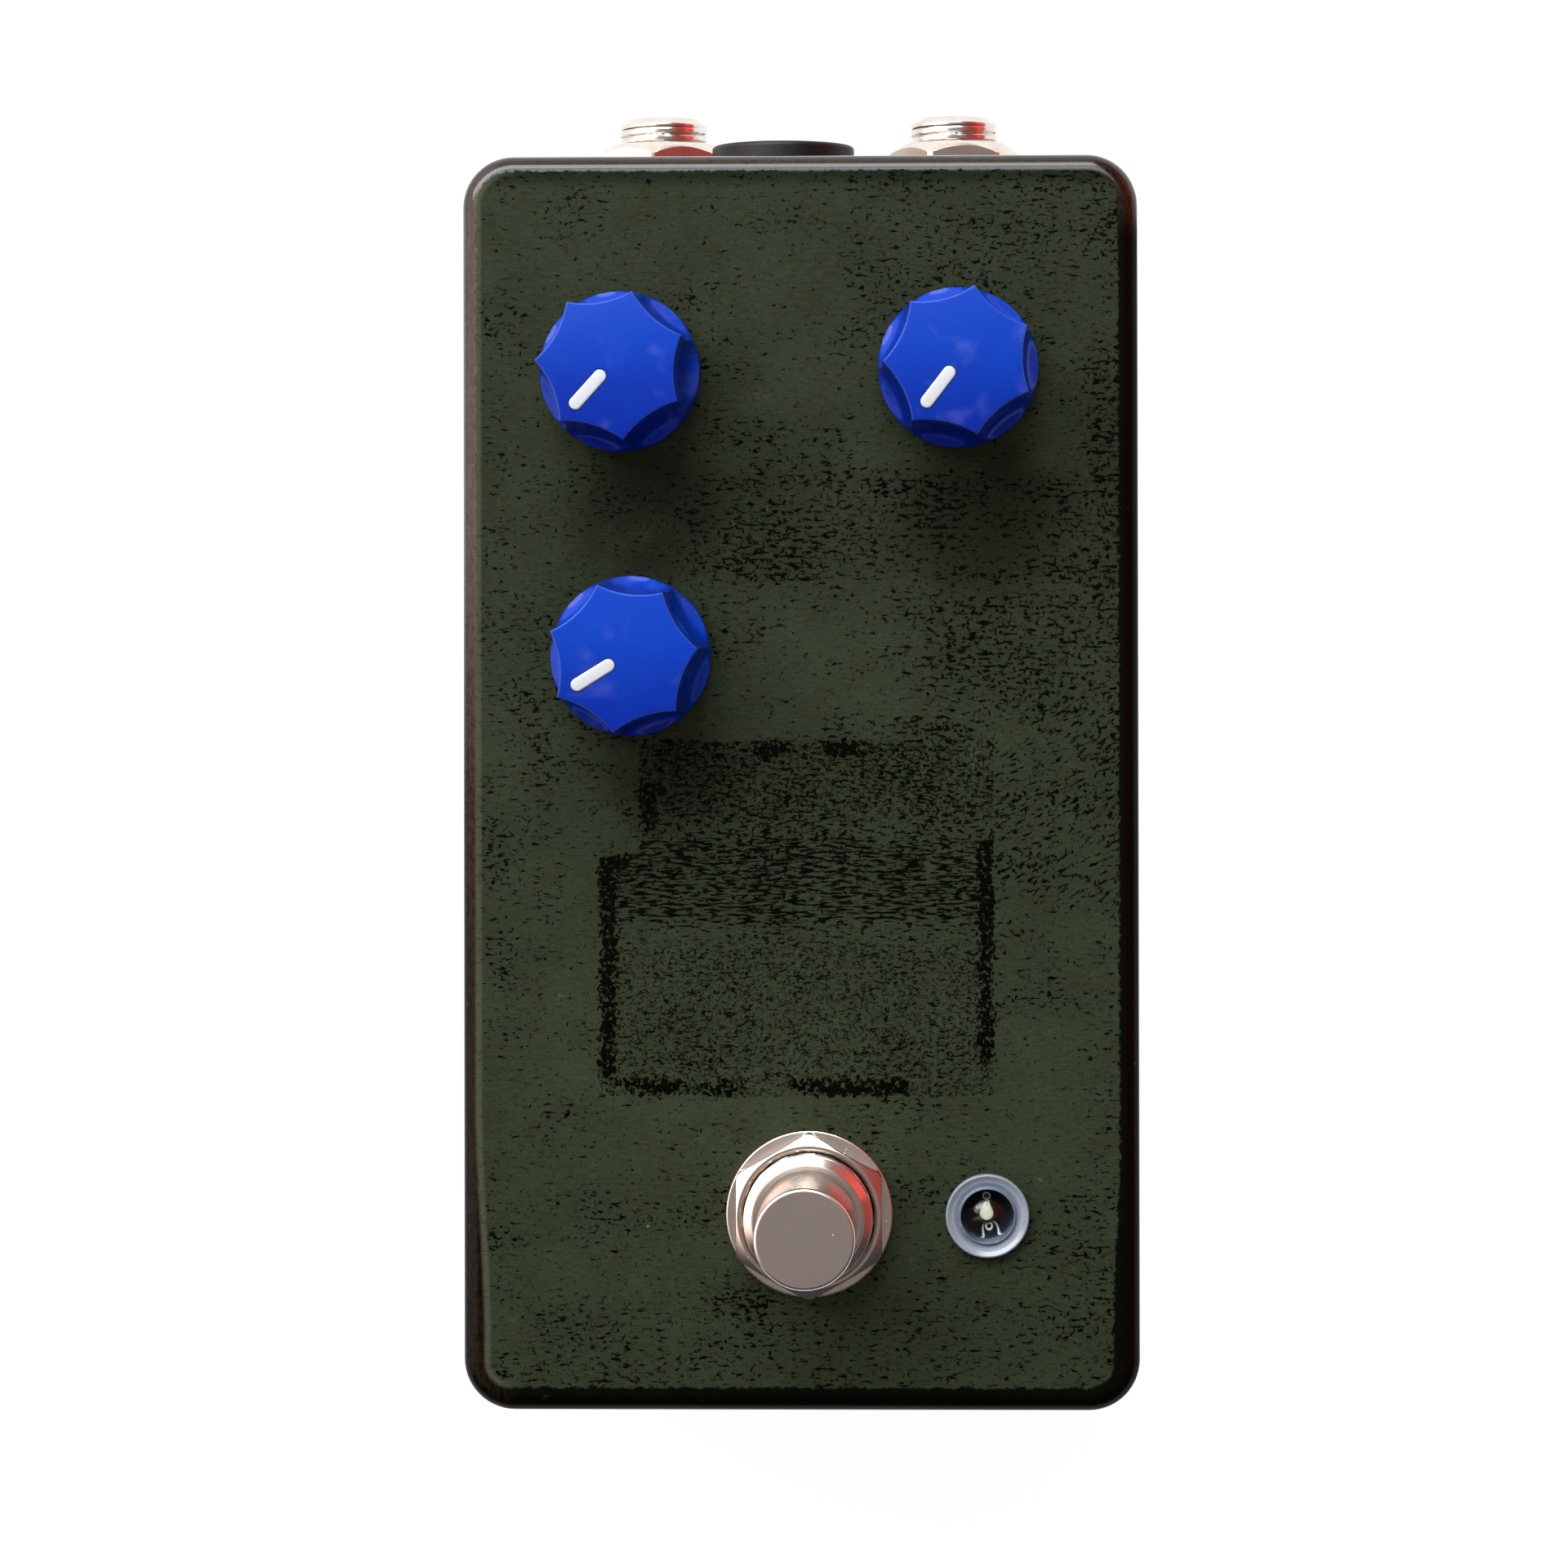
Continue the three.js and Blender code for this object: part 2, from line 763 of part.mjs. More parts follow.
// The resistive wafer of a potentiometer, its tongue towards -Y, and three pins down to the board.
function potWafer() {
  const top = -panelThickness - potPlateThickness;
  const bottom = top - potWaferThickness;
  const disc = rod(potWaferRadius, bottom, top, innerSides);
  const tongue = block(0, -potTongueReach / 2, potTongueWidth, potTongueReach, bottom, top);
  const through = shaftRadius + 2 * shaftClearance;
  const hole = rod(through, bottom - cutOverrun, top + cutOverrun, innerSides);
  const pins = [-potPinPitch, 0, potPinPitch].map((x) =>
    block(x, -potPinReach, potPinWidth, potPinThickness, pinTip(), bottom + cutOverrun));
  return cut(join(disc, tongue, ...pins), hole);
}

// How far down the pins reach: just through the circuit board.
function pinTip() {
  return -(boardDepth + boardThickness + potPinWidth);
}

// The drawn cup over a potentiometer's rotor, open towards the panel.
function potCover() {
  const top = -(potDepth - potCoverDepth);
  const inside = potCoverRadius - potCoverWall;
  const floor = potCoverWall - potDepth;
  const profile = [
    [0, -potDepth],
    [potCoverRadius - potCoverRound, -potDepth],
    [potCoverRadius, potCoverRound - potDepth],
    [potCoverRadius, top],
    [inside, top],
    [inside, floor],
    [0, floor],
  ];
  return revolve(profile, innerSides);
}

// One knob and its potentiometer.
function control({ name, placeShares, pointerTurn }) {
  const group = new THREE.Group();
  const [x, y] = place(placeShares);
  group.position.set(x, y, 0);
  const turned = new THREE.Group();
  turned.rotation.z = THREE.MathUtils.degToRad(pointerTurn);
  turned.add(
    piece(`knob_${name}`, knob(), knobPlastic),
    piece(`pointer_${name}`, pointer(), pointerPlastic),
    piece(`set_screw_${name}`, setScrew(), steel),
    piece(`pot_shaft_${name}`, potShaft(), nickel),
  );
  const nutBore = potSleeveRadius + shaftClearance;
  const hexagon = nut(potNutAcrossFlats, nutBore, 0, potNutThickness, false, innerSides);
  group.add(
    turned,
    piece(`pot_sleeve_${name}`, potSleeve(), nickel),
    piece(`pot_nut_${name}`, hexagon, nickel),
    piece(`pot_wafer_${name}`, potWafer(), phenolic),
    piece(`pot_cover_${name}`, potCover(), steel),
  );
  return group;
}

// The foot switch's threaded sleeve, with a lip that holds the button in, on its frame plate.
function switchSleeve() {
  const top = switchSleeveTop;
  const sleeve = revolve([
    [buttonStemRadius + stemClearance, -switchFloor],
    [switchSleeveRadius, -switchFloor],
    [switchSleeveRadius, top - switchSleeveChamfer],
    [switchSleeveRadius - switchSleeveChamfer, top],
    [switchLipRadius, top],
    [switchLipRadius, top - switchLipHeight],
    [switchBoreRadius, top - switchLipHeight],
    [switchBoreRadius, -switchFrameTop],
    [buttonStemRadius + stemClearance, -switchFrameTop],
    [buttonStemRadius + stemClearance, -switchFloor],
  ]);
  const frame = roundedRectangle(switchFrameWidth, switchFrameWidth, switchCaseRadius);
  const plate = cut(
    raise(frame, -switchFloor, -switchFrameTop, plateCornerSteps),
    rod(switchBoreRadius, -switchFloor - cutOverrun, cutOverrun),
  );
  return join(sleeve, plate);
}

// The button that the foot presses: cap, holding flange and stem.
function switchButton() {
  const flangeTop = switchSleeveTop - switchLipHeight - buttonGap;
  const flangeBottom = flangeTop - buttonFlangeHeight;
  const stemBottom = flangeBottom - buttonStemLength;
  return revolve([
    [0, stemBottom],
    [buttonStemRadius, stemBottom],
    [buttonStemRadius, flangeBottom],
    [buttonFlangeRadius, flangeBottom],
    [buttonFlangeRadius, flangeTop],
    [buttonRadius, flangeTop],
    [buttonRadius, buttonTop - buttonChamfer],
    [buttonRadius - buttonChamfer, buttonTop],
    [0, buttonTop],
  ]);
}

// The return spring between the sleeve's floor and the button's flange: one coiled wire.
function switchSpring() {
  const flangeBottom = switchSleeveTop - switchLipHeight - buttonGap - buttonFlangeHeight;
  const bottom = springGap + springWireRadius - switchFrameTop;
  const top = flangeBottom - springGap - springWireRadius;
  const rise = (top - bottom) / springTurns;
  const positions = [];
  const count = springTurns * springSteps;
  for (let step = 0; step <= count; step += 1) {
    const turn = (step / springSteps) * fullTurn;
    for (let side = 0; side < springSides; side += 1) {
      const around = (side / springSides) * fullTurn;
      const radius = springRadius + springWireRadius * Math.cos(around);
      const height = bottom + (step / springSteps) * rise + springWireRadius * Math.sin(around);
      positions.push(radius * Math.cos(turn), radius * Math.sin(turn), height);
    }
  }
  const faces = [];
  for (let step = 0; step < count; step += 1) {
    for (let side = 0; side < springSides; side += 1) {
      const a = step * springSides + side;
      const b = step * springSides + ((side + 1) % springSides);
      faces.push(a, a + springSides, b + springSides, a, b + springSides, b);
    }
  }
  const end = count * springSides;
  for (let side = 1; side < springSides - 1; side += 1) {
    faces.push(0, side, side + 1);
    faces.push(end, end + side + 1, end + side);
  }
  const geometry = new THREE.BufferGeometry();
  geometry.setAttribute("position", new THREE.Float32BufferAttribute(positions, 3));
  geometry.setIndex(faces);
  console.log(`least gap between spring turns: ${(rise - 2 * springWireRadius).toFixed(2)} mm`);
  return geometry;
}

// The switch's moulded case with its nine solder lugs, and a pocket for the stem.
function switchCase() {
  const bottom = -switchFloor - switchCaseHeight;
  const shape = roundedRectangle(switchCaseWidth, switchCaseWidth, switchCaseRadius);
  const lugs = [];
  for (const column of [-1, 0, 1]) {
    for (const row of [-1, 0, 1]) {
      const x = column * lugPitchX;
      const y = row * lugPitchY;
      lugs.push(block(x, y, lugWidth, lugThickness, bottom - lugLength, bottom + cutOverrun));
    }
  }
  const stemLow = switchSleeveTop - buttonFlangeHeight - buttonStemLength - switchLipHeight;
  const floor = stemLow - switchTravel - cutOverrun;
  const pocket = rod(stemPocketRadius, floor, cutOverrun - switchFloor, smallSides);
  const body = raise(shape, bottom, -switchFloor, plateCornerSteps);
  return cut(join(body, ...lugs), pocket);
}

// The small board on the switch's lugs, which also takes the lamp's legs.
function switchBoard() {
  const top = -switchBoardDepth;
  const bottom = top - boardThickness;
  const shape = roundedRectangle(switchBoardWidth, switchBoardLength, switchCaseRadius);
  const holes = [];
  for (const column of [-1, 0, 1]) {
    for (const row of [-1, 0, 1]) {
      const x = column * lugPitchX;
      const y = row * lugPitchY;
      const width = lugWidth + boardHoleRadius;
      const length = lugThickness + boardHoleRadius;
      holes.push(block(x, y, width, length, bottom - cutOverrun, top + cutOverrun));
    }
  }
  for (const side of [-1, 1]) {
    const x = ledPlace[0] - switchPlace[0] + (side * ledLegPitch) / 2;
    const y = ledPlace[1] - switchPlace[1];
    const leg = rod(boardHoleRadius / 2 + ledLegWidth / 4, bottom - cutOverrun, top + cutOverrun, pinSides);
    holes.push(leg.translate(x, y, 0));
  }
  const plate = raise(shape, bottom, top, plateCornerSteps).translate(switchBoardShift, 0, 0);
  return cut(plate, ...holes);
}

function footSwitch() {
  const group = new THREE.Group();
  group.position.set(...switchPlace, 0);
  const hole = switchSleeveRadius + switchNutClearance;
  const washerTop = switchWasherThickness;
  const washer = tube(hole, switchWasherRadius, 0, washerTop);
  const nutTop = washerTop + switchNutThickness;
  const lockTop = -panelThickness;
  const lockBottom = lockTop - switchLockNutThickness;
  const lockNut = nut(switchNutAcrossFlats, hole, lockBottom, lockTop, true, innerSides);
  group.add(
    piece("switch_sleeve", switchSleeve(), nickel),
    piece("switch_washer", washer, nickel),
    piece("switch_nut", nut(switchNutAcrossFlats, hole, washerTop, nutTop, false), nickel),
    piece("switch_lock_nut", lockNut, nickel),
    piece("switch_button", switchButton(), nickel),
    piece("switch_spring", switchSpring(), steel),
    piece("switch_case", switchCase(), caseBlue),
    piece("switch_board", switchBoard(), boardGreen),
  );
  return group;
}

// The lamp's ring: a dished flange on the panel and a barrel through it.
function ledBezel() {
  const bore = ledRadius + bezelClearance;
  return revolve([
    [bore, -bezelBarrelLength],
    [bezelBarrelRadius, -bezelBarrelLength],
    [bezelBarrelRadius, 0],
    [bezelFlangeRadius, 0],
    [bezelFlangeRadius, bezelEdgeHeight],
    [bezelFlangeRadius - bezelRimInset, bezelFlangeHeight],
    [bezelFlangeRadius - bezelDishInset, bezelDishHeight],
    [bore + bezelLipWidth, bezelLipHeight],
    [bore, bezelLipHeight],
    [bore, -bezelBarrelLength],
  ]);
}

// The lamp: a domed body, its flange under the ring, and two legs down to the switch's board.
function led() {
  const flangeTop = -bezelBarrelLength - bezelClearance;
  const flangeBottom = flangeTop - ledFlangeHeight;
  const profile = [
    [0, flangeBottom],
    [ledFlangeRadius, flangeBottom],
    [ledFlangeRadius, flangeTop],
    [ledRadius, flangeTop],
  ];
  for (let step = 0; step <= domeSteps; step += 1) {
    const angle = (step / domeSteps) * quarterTurn;
    profile.push([
      step === domeSteps ? 0 : ledRadius * Math.cos(angle),
      ledTop - ledRadius * (1 - Math.sin(angle)),
    ]);
  }
  const tip = -(switchBoardDepth + boardThickness + ledLegWidth);
  const legs = [-1, 1].map((side) =>
    block((side * ledLegPitch) / 2, 0, ledLegWidth, ledLegWidth, tip, flangeBottom + ledLegWidth));
  return join(revolve(profile), ...legs);
}

function lamp() {
  const group = new THREE.Group();
  group.position.set(...ledPlace, 0);
  group.add(piece("led", led(), clear), piece("led_bezel", ledBezel(), frosted));
  return group;
}

// An audio jack's threaded sleeve, its shoulder inside the wall, and the arm of its frame.
function jackSleeve() {
  const shoulderTop = -wallThickness - jackWallGap;
  const shoulderBottom = shoulderTop - jackShoulderThickness;
  const bored = revolve([
    [jackBoreRadius, shoulderBottom],
    [jackShoulderRadius, shoulderBottom],
    [jackShoulderRadius, shoulderTop],
    [jackSleeveRadius, shoulderTop],
    [jackSleeveRadius, jackSleeveReach - jackSleeveChamfer],
    [jackSleeveRadius - jackSleeveChamfer, jackSleeveReach],
    [jackBoreRadius, jackSleeveReach],
    [jackBoreRadius, shoulderBottom],
  ]);
  const drop = jackArmDrop / 2;
  const tab = cut(
    block(0, drop, jackArmWidth, jackArmDrop, shoulderBottom, shoulderTop),
    rod(jackBoreRadius, shoulderBottom - cutOverrun, shoulderTop + cutOverrun),
  );
  const armMiddle = jackArmDrop - jackArmThickness / 2;
  const armEnd = shoulderTop - jackArmLength;
  const arm = block(0, armMiddle, jackArmWidth, jackArmThickness, armEnd, shoulderTop);
  return join(bored, tab, arm);
}

// The insulating block on the arm, which holds the tip contact off the frame.
function jackInsulator() {
  const top = jackArmDrop - jackArmThickness;
  const bottom = contactDrop + contactThickness;
  const end = jackArmLength + wallThickness + jackWallGap;
  const far = -end;
  return block(0, (top + bottom) / 2, jackBlockWidth, top - bottom, far, far + jackBlockLength);
}

// The sprung tip contact: a strip with a bend that meets the plug's tip, and a solder lug.
function tipContact() {
  const outer = contactDrop + contactThickness;
  const shape = new THREE.Shape();
  shape.moveTo(-contactStart, contactDrop);
  shape.lineTo(-contactBend, contactDrop);
  shape.lineTo(-contactPoint, contactPointDrop);
  shape.lineTo(-contactEnd, contactDrop);
  shape.lineTo(-contactEnd, outer);
  shape.lineTo(-contactPoint, contactPointDrop + contactThickness);
  shape.lineTo(-contactBend, outer);
  shape.lineTo(-contactStart, outer);
  shape.closePath();
  const strip = raise(shape, -contactWidth / 2, contactWidth / 2).rotateY(-quarterTurn);
  const lugEnd = -contactStart - contactLugWidth;
  const lug = block(
    contactLugReach / 2,
    contactDrop + contactThickness / 2,
    contactLugReach,
    contactThickness,
    lugEnd,
    -contactStart,
  );
  return join(strip, lug);
}

function audioJack(name) {
  const group = onBackWall(jackPlaces[name], jackDepth);
  const bore = jackSleeveRadius + switchNutClearance;
  const nutTop = jackWallGap + jackNutThickness;
  const turn = THREE.MathUtils.degToRad(jackNutTurns[name]);
  const hexagon = nut(jackNutAcrossFlats, bore, jackWallGap, nutTop, true).rotateZ(turn);
  group.add(
    piece(`${name}_jack_sleeve`, jackSleeve(), nickel),
    piece(`${name}_jack_nut`, hexagon, nickel),
    piece(`${name}_jack_contact`, tipContact(), nickel),
    piece(`${name}_jack_insulator`, jackInsulator(), phenolic),
  );
  return group;
}

// The power jack's moulded body: flange, barrel and socket.
function powerBody() {
  const barrelEnd = -powerBarrelLength;
  const flangeTop = jackWallGap + powerFlangeHeight;
  const socketFloor = flangeTop - powerSocketDepth;
  const hole = powerPinRadius + powerPinClearance;
  return revolve([
    [hole, barrelEnd],
    [powerBarrelRadius, barrelEnd],
    [powerBarrelRadius, jackWallGap],
    [powerFlangeRadius, jackWallGap],
    [powerFlangeRadius, flangeTop - powerFlangeRound],
    [powerFlangeRadius - powerFlangeRound, flangeTop],
    [powerSocketRadius, flangeTop],
    [powerSocketRadius, socketFloor],
    [hole, socketFloor],
    [hole, barrelEnd],
  ]);
}

// The power jack's pin, which ends in a solder lug behind the body.
function powerPin() {
  const tip = jackWallGap + powerFlangeHeight - powerPinSunk;
  const back = -powerBarrelLength - powerPinClearance;
  const dome = tip - powerPinRadius / 2;
  const pin = revolve(
    [
      [0, back],
      [powerPinRadius, back],
      [powerPinRadius, dome],
      [powerPinRadius / 2, tip],
      [0, tip],
    ],
    smallSides,
  );
  const lugEnd = back - powerLugLength;
  return join(pin, block(0, 0, powerLugWidth, powerLugThickness, lugEnd, back + powerPinClearance));
}

function powerJack() {
  const group = onBackWall(jackPlaces.power, powerDepth);
  const nutTop = -wallThickness - jackWallGap;
  const nutBottom = nutTop - powerNutThickness;
  const bore = powerBarrelRadius + switchNutClearance;
  const ringNut = nut(powerNutAcrossFlats, bore, nutBottom, nutTop, true, innerSides)
    .rotateZ(halfTurn / hexSides);
  group.add(
    piece("power_jack_body", powerBody(), blackPlastic),
    piece("power_jack_pin", powerPin(), nickel),
    piece("power_jack_nut", ringNut, blackPlastic),
  );
  return group;
}

// The circuit board's edges: from its front share of the panel to just past the upper
// potentiometers' pins, and as wide as the box leaves room.
function boardEdges() {
  const rows = knobs.map(({ placeShares }) => place(placeShares)[1] - potPinReach);
  const back = Math.max(...rows) + boardMargin;
  const front = boardFrontShare * panelLength;
  const width = panelWidth - 2 * (wallThickness + boardMargin);
  return { front, back, width, length: back - front, middle: (back + front) / 2 };
}

// The circuit board with the parts soldered under it.
function circuitBoard() {
  const { width, length, middle } = boardEdges();
  const top = -boardDepth;
  const bottom = top - boardThickness;
  const at = ([shareX, shareY]) => [shareX * width, middle + shareY * length];
  const shape = roundedRectangle(width, length, switchCaseRadius);
  const plate = raise(shape, bottom, top, plateCornerSteps).translate(0, middle, 0);
  const parts = [plate];
  for (const share of chipShares) {
    const [x, y] = at(share);
    const gap = chipPinShare * chipHeight;
    parts.push(block(x, y, chipWidth, chipLength, bottom - chipHeight, bottom - gap));
    parts.push(block(x, y, chipWidth + 2 * gap, chipLength - 2 * gap, bottom - gap * 2, bottom));
  }
  for (const share of capacitorShares) {
    const [x, y] = at(share);
    const can = rod(capacitorRadius, bottom - capacitorHeight, bottom, smallSides);
    parts.push(can.translate(x, y, 0));
  }
  for (const share of filmShares) {
    const [x, y] = at(share);
    parts.push(block(x, y, filmWidth, filmDepth, bottom - filmHeight, bottom));
  }
  const [bankX, bankY] = at(resistorBankShare);
  for (let row = 0; row < resistorCount; row += 1) {
    const y = bankY + row * resistorRow;
    const half = resistorLength / 2;
    const resistor = rod(resistorWidth / 2, -half, half, pinSides).rotateY(quarterTurn);
    parts.push(resistor.translate(bankX, y, bottom - resistorWidth / 4));
  }
  const holes = [];
  for (const { placeShares } of knobs) {
    const [x, y] = place(placeShares);
    for (const pin of [-potPinPitch, 0, potPinPitch]) {
      const hole = rod(boardHoleRadius, bottom - cutOverrun, top + cutOverrun, pinSides);
      holes.push(hole.translate(x + pin, y - potPinReach, 0));
    }
  }
  return cut(join(...parts), ...holes);
}

// A lead along a smooth curve through points.
function lead(points) {
  const path = new THREE.CatmullRomCurve3(points);
  const section = new THREE.Shape();
  for (let side = 0; side < leadSides; side += 1) {
    const angle = (side / leadSides) * fullTurn;
    const x = leadRadius * Math.cos(angle);
    const y = leadRadius * Math.sin(angle);
    if (side === 0) section.moveTo(x, y);
    else section.lineTo(x, y);
  }
  section.closePath();
  return new THREE.ExtrudeGeometry(section, { extrudePath: path, steps: leadSteps });
}

const at = (x, y, z) => new THREE.Vector3(x, y, z);

// The lead from a jack's solder lug to the circuit board's underside.
function jackLead(name) {
  const x = jackPlaces[name];
  const { back } = boardEdges();
  const wall = panelLength / 2 + jackDepth * slope;
  const lugZ = -(jackDepth + contactDrop + contactThickness + leadRadius + leadGap);
  const lugY = wall - contactStart - contactLugWidth / 2;
  const startX = x + contactLugReach - leadRadius;
  const boardY = back - boardMargin / 2;
  const boardZ = -(boardDepth + boardThickness + leadGap);
  const drop = lugZ - leadRadius * 2;
  return lead([
    at(startX, lugY, lugZ),
    at(startX, lugY - leadRadius * 4, drop),
    at(startX, (lugY + boardY) / 2, drop),
    at(startX, boardY + leadRadius * 2, (drop + boardZ) / 2),
    at(startX, boardY, boardZ),
  ]);
}

// The lead from the power jack's pin to the circuit board's upper face.
function powerLead() {
  const { back } = boardEdges();
  const x = jackPlaces.power;
  const wall = panelLength / 2 + powerDepth * slope;
  const reach = powerBarrelLength + powerPinClearance + powerLugLength + leadGap;
  const startY = wall - reach - leadRadius;
  const endZ = leadGap - boardDepth;
  const endY = back - boardMargin / 2;
  const high = -(powerDepth - powerBarrelRadius);
  return lead([
    at(x, startY, -(powerDepth + reach * slope)),
    at(x, startY - leadRadius * 5, high - leadRadius * 2),
    at(x, endY + leadRadius * 4, high),
    at(x, endY, (high + endZ) / 2),
    at(x, endY, endZ),
  ]);
}

// A bent strip across X: its thickness stands to both sides of a smooth curve through points,
// each [y, z].
function bentStrip(points, thickness, width) {
  const path = new THREE.SplineCurve(points.map(([y, z]) => new THREE.Vector2(y, z)));
  const side = (away) => {
    const edge = [];
    for (let step = 0; step <= leadSteps; step += 1) {
      const { x, y } = path.getPoint(step / leadSteps);
      const along = path.getTangent(step / leadSteps);
      edge.push(new THREE.Vector2(x - away * along.y, y + away * along.x));
    }
    return edge;
  };
  const shape = new THREE.Shape([...side(-thickness / 2), ...side(thickness / 2).reverse()]);
  const flat = new THREE.ExtrudeGeometry(shape, { depth: width, bevelEnabled: false });
  return flat.rotateX(quarterTurn).rotateZ(quarterTurn).translate(-width / 2, 0, 0);
}

// The flat ribbon from the switch's board, past the switch, to the circuit board's underside.
function switchRibbon() {
  const { front } = boardEdges();
  const startY = switchPlace[1] + switchBoardLength / 2 - ribbonThickness;
  const startZ = leadGap - switchBoardDepth;
  const endY = front + ribbonTail;
  const endZ = -(boardDepth + boardThickness + leadGap);
  const points = [
    [startY, startZ],
    [startY, startZ + ribbonTail],
    [(startY + endY) / 2, (startZ + endZ) / 2],
    [endY, endZ - ribbonTail],
    [endY, endZ],
  ];
  return bentStrip(points, ribbonThickness, ribbonWidth);
}

// Everything that hangs from the box, with the panel's outer face at height zero.
const box = new THREE.Group();
box.position.z = panelHeight;
box.add(
  piece("enclosure", enclosure(), paint),
  ...knobs.map(control),
  footSwitch(),
  lamp(),
  audioJack("input"),
  audioJack("output"),
  powerJack(),
  piece("circuit_board", circuitBoard(), boardGreen),
  piece("input_lead", jackLead("input"), leadWhite),
  piece("output_lead", jackLead("output"), leadWhite),
  piece("power_lead", powerLead(), leadRed),
  piece("switch_ribbon", switchRibbon(), leadGrey),
);

// The back cover with its screws and feet, on the floor.
const base = new THREE.Group();
base.position.z = footHeight + coverThickness;
base.add(piece("back_cover", backCover(), paint));
atCorners(bossX, bossY, (corner, x, y) => {
  const screw = piece(`cover_screw_${corner}`, coverScrew(), steel);
  screw.position.set(x, y, screwSunk - coverThickness);
  base.add(screw);
});
atCorners(rimWidth / 2 - footInsetX, rimLength / 2 - footInsetY, (corner, x, y) => {
  const foot = piece(`rubber_foot_${corner}`, rubberFoot(), rubber);
  foot.position.set(x, y, -coverThickness);
  base.add(foot);
});

const pedal = new THREE.Group();
pedal.add(box, base);
pedal.updateMatrixWorld(true);
const footprint = new THREE.Box3().setFromObject(pedal, true);
pedal.position.y = -(footprint.min.y + footprint.max.y) / 2;

export default pedal;
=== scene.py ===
# The looks of a guitar effects pedal: camera, light, detailed pieces and procedural materials.
# Lengths are in millimetres, in the frame of the model, unless a name says otherwise.
import json
import math

import bmesh
import bpy
from mathutils import Matrix, Vector


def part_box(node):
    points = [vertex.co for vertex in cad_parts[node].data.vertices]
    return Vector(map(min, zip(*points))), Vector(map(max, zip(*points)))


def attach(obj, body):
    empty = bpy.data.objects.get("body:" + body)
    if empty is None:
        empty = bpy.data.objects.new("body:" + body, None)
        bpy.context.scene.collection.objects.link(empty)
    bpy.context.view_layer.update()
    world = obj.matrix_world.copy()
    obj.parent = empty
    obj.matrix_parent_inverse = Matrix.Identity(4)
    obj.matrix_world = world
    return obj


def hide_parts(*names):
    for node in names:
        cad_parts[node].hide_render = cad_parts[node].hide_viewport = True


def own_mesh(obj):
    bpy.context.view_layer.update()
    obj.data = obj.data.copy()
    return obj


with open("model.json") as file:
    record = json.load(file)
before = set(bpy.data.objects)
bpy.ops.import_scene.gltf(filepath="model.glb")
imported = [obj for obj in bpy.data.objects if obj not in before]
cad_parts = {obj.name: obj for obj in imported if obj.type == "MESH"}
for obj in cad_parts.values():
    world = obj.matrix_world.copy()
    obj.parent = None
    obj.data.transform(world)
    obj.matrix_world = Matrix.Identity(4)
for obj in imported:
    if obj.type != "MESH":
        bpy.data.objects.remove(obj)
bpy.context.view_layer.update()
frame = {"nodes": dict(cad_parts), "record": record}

MM = 0.001
nodes = frame["nodes"]


def middle(node):
    low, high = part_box(node)
    return (low + high) / (2 * MM)


def top_of(node):
    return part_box(node)[1].z / MM


# ---- sizes
BOX_Y = middle("enclosure").y
PANEL_Z = top_of("enclosure")
HALF_WIDTH, HALF_LENGTH = 31.75, 59.0
SHELL = 36.0
SLOPE = math.tan(math.radians(2))
WALL, PANEL = 2.3, 2.3
CORNER, EDGE = 4.75, 1.6
HOLD, SCREW_INSET = 0.06, 6.2
JACK_DEPTH, POWER_DEPTH = 24.3, 12.5
SWITCH, LAMP = middle("switch_washer"), middle("led_bezel")
KNOBS = ("upper_left", "upper_right", "lower_left")
CORNERS = ("front_left", "front_right", "back_left", "back_right")


# ---- meshes
def polar(angles, places):
    """A ring of points about Z, from angles and (radius, height) places."""
    return [(r * math.cos(a), r * math.sin(a), z) for a, (r, z) in zip(angles, places)]


def stack(count, *places):
    """Round rings at (radius, height) places."""
    angles = [2 * math.pi * step / count for step in range(count)]
    return [polar(angles, [place] * count) for place in places]


def skin(rings, wrap=False):
    """Vertices and faces of a closed skin through rings of points. A ring of one point is a pole."""
    vertices, starts, faces = [], [], []
    for ring in rings:
        starts.append(len(vertices))
        vertices.extend(ring)
    pairs = list(zip(range(len(rings) - 1), range(1, len(rings))))
    if wrap:
        pairs.append((len(rings) - 1, 0))
    for a, b in pairs:
        first, second = len(rings[a]), len(rings[b])
        count = max(first, second)
        for step in range(count):
            after = (step + 1) % count
            if first == 1:
                face = [starts[a], starts[b] + step, starts[b] + after]
            elif second == 1:
                face = [starts[a] + step, starts[b], starts[a] + after]
            else:
                face = [starts[a] + step, starts[b] + step, starts[b] + after, starts[a] + after]
            faces.append(face)
    if not wrap:
        for index in (0, len(rings) - 1):
            if len(rings[index]) > 1:
                faces.append([starts[index] + step for step in range(len(rings[index]))])
    return vertices, faces


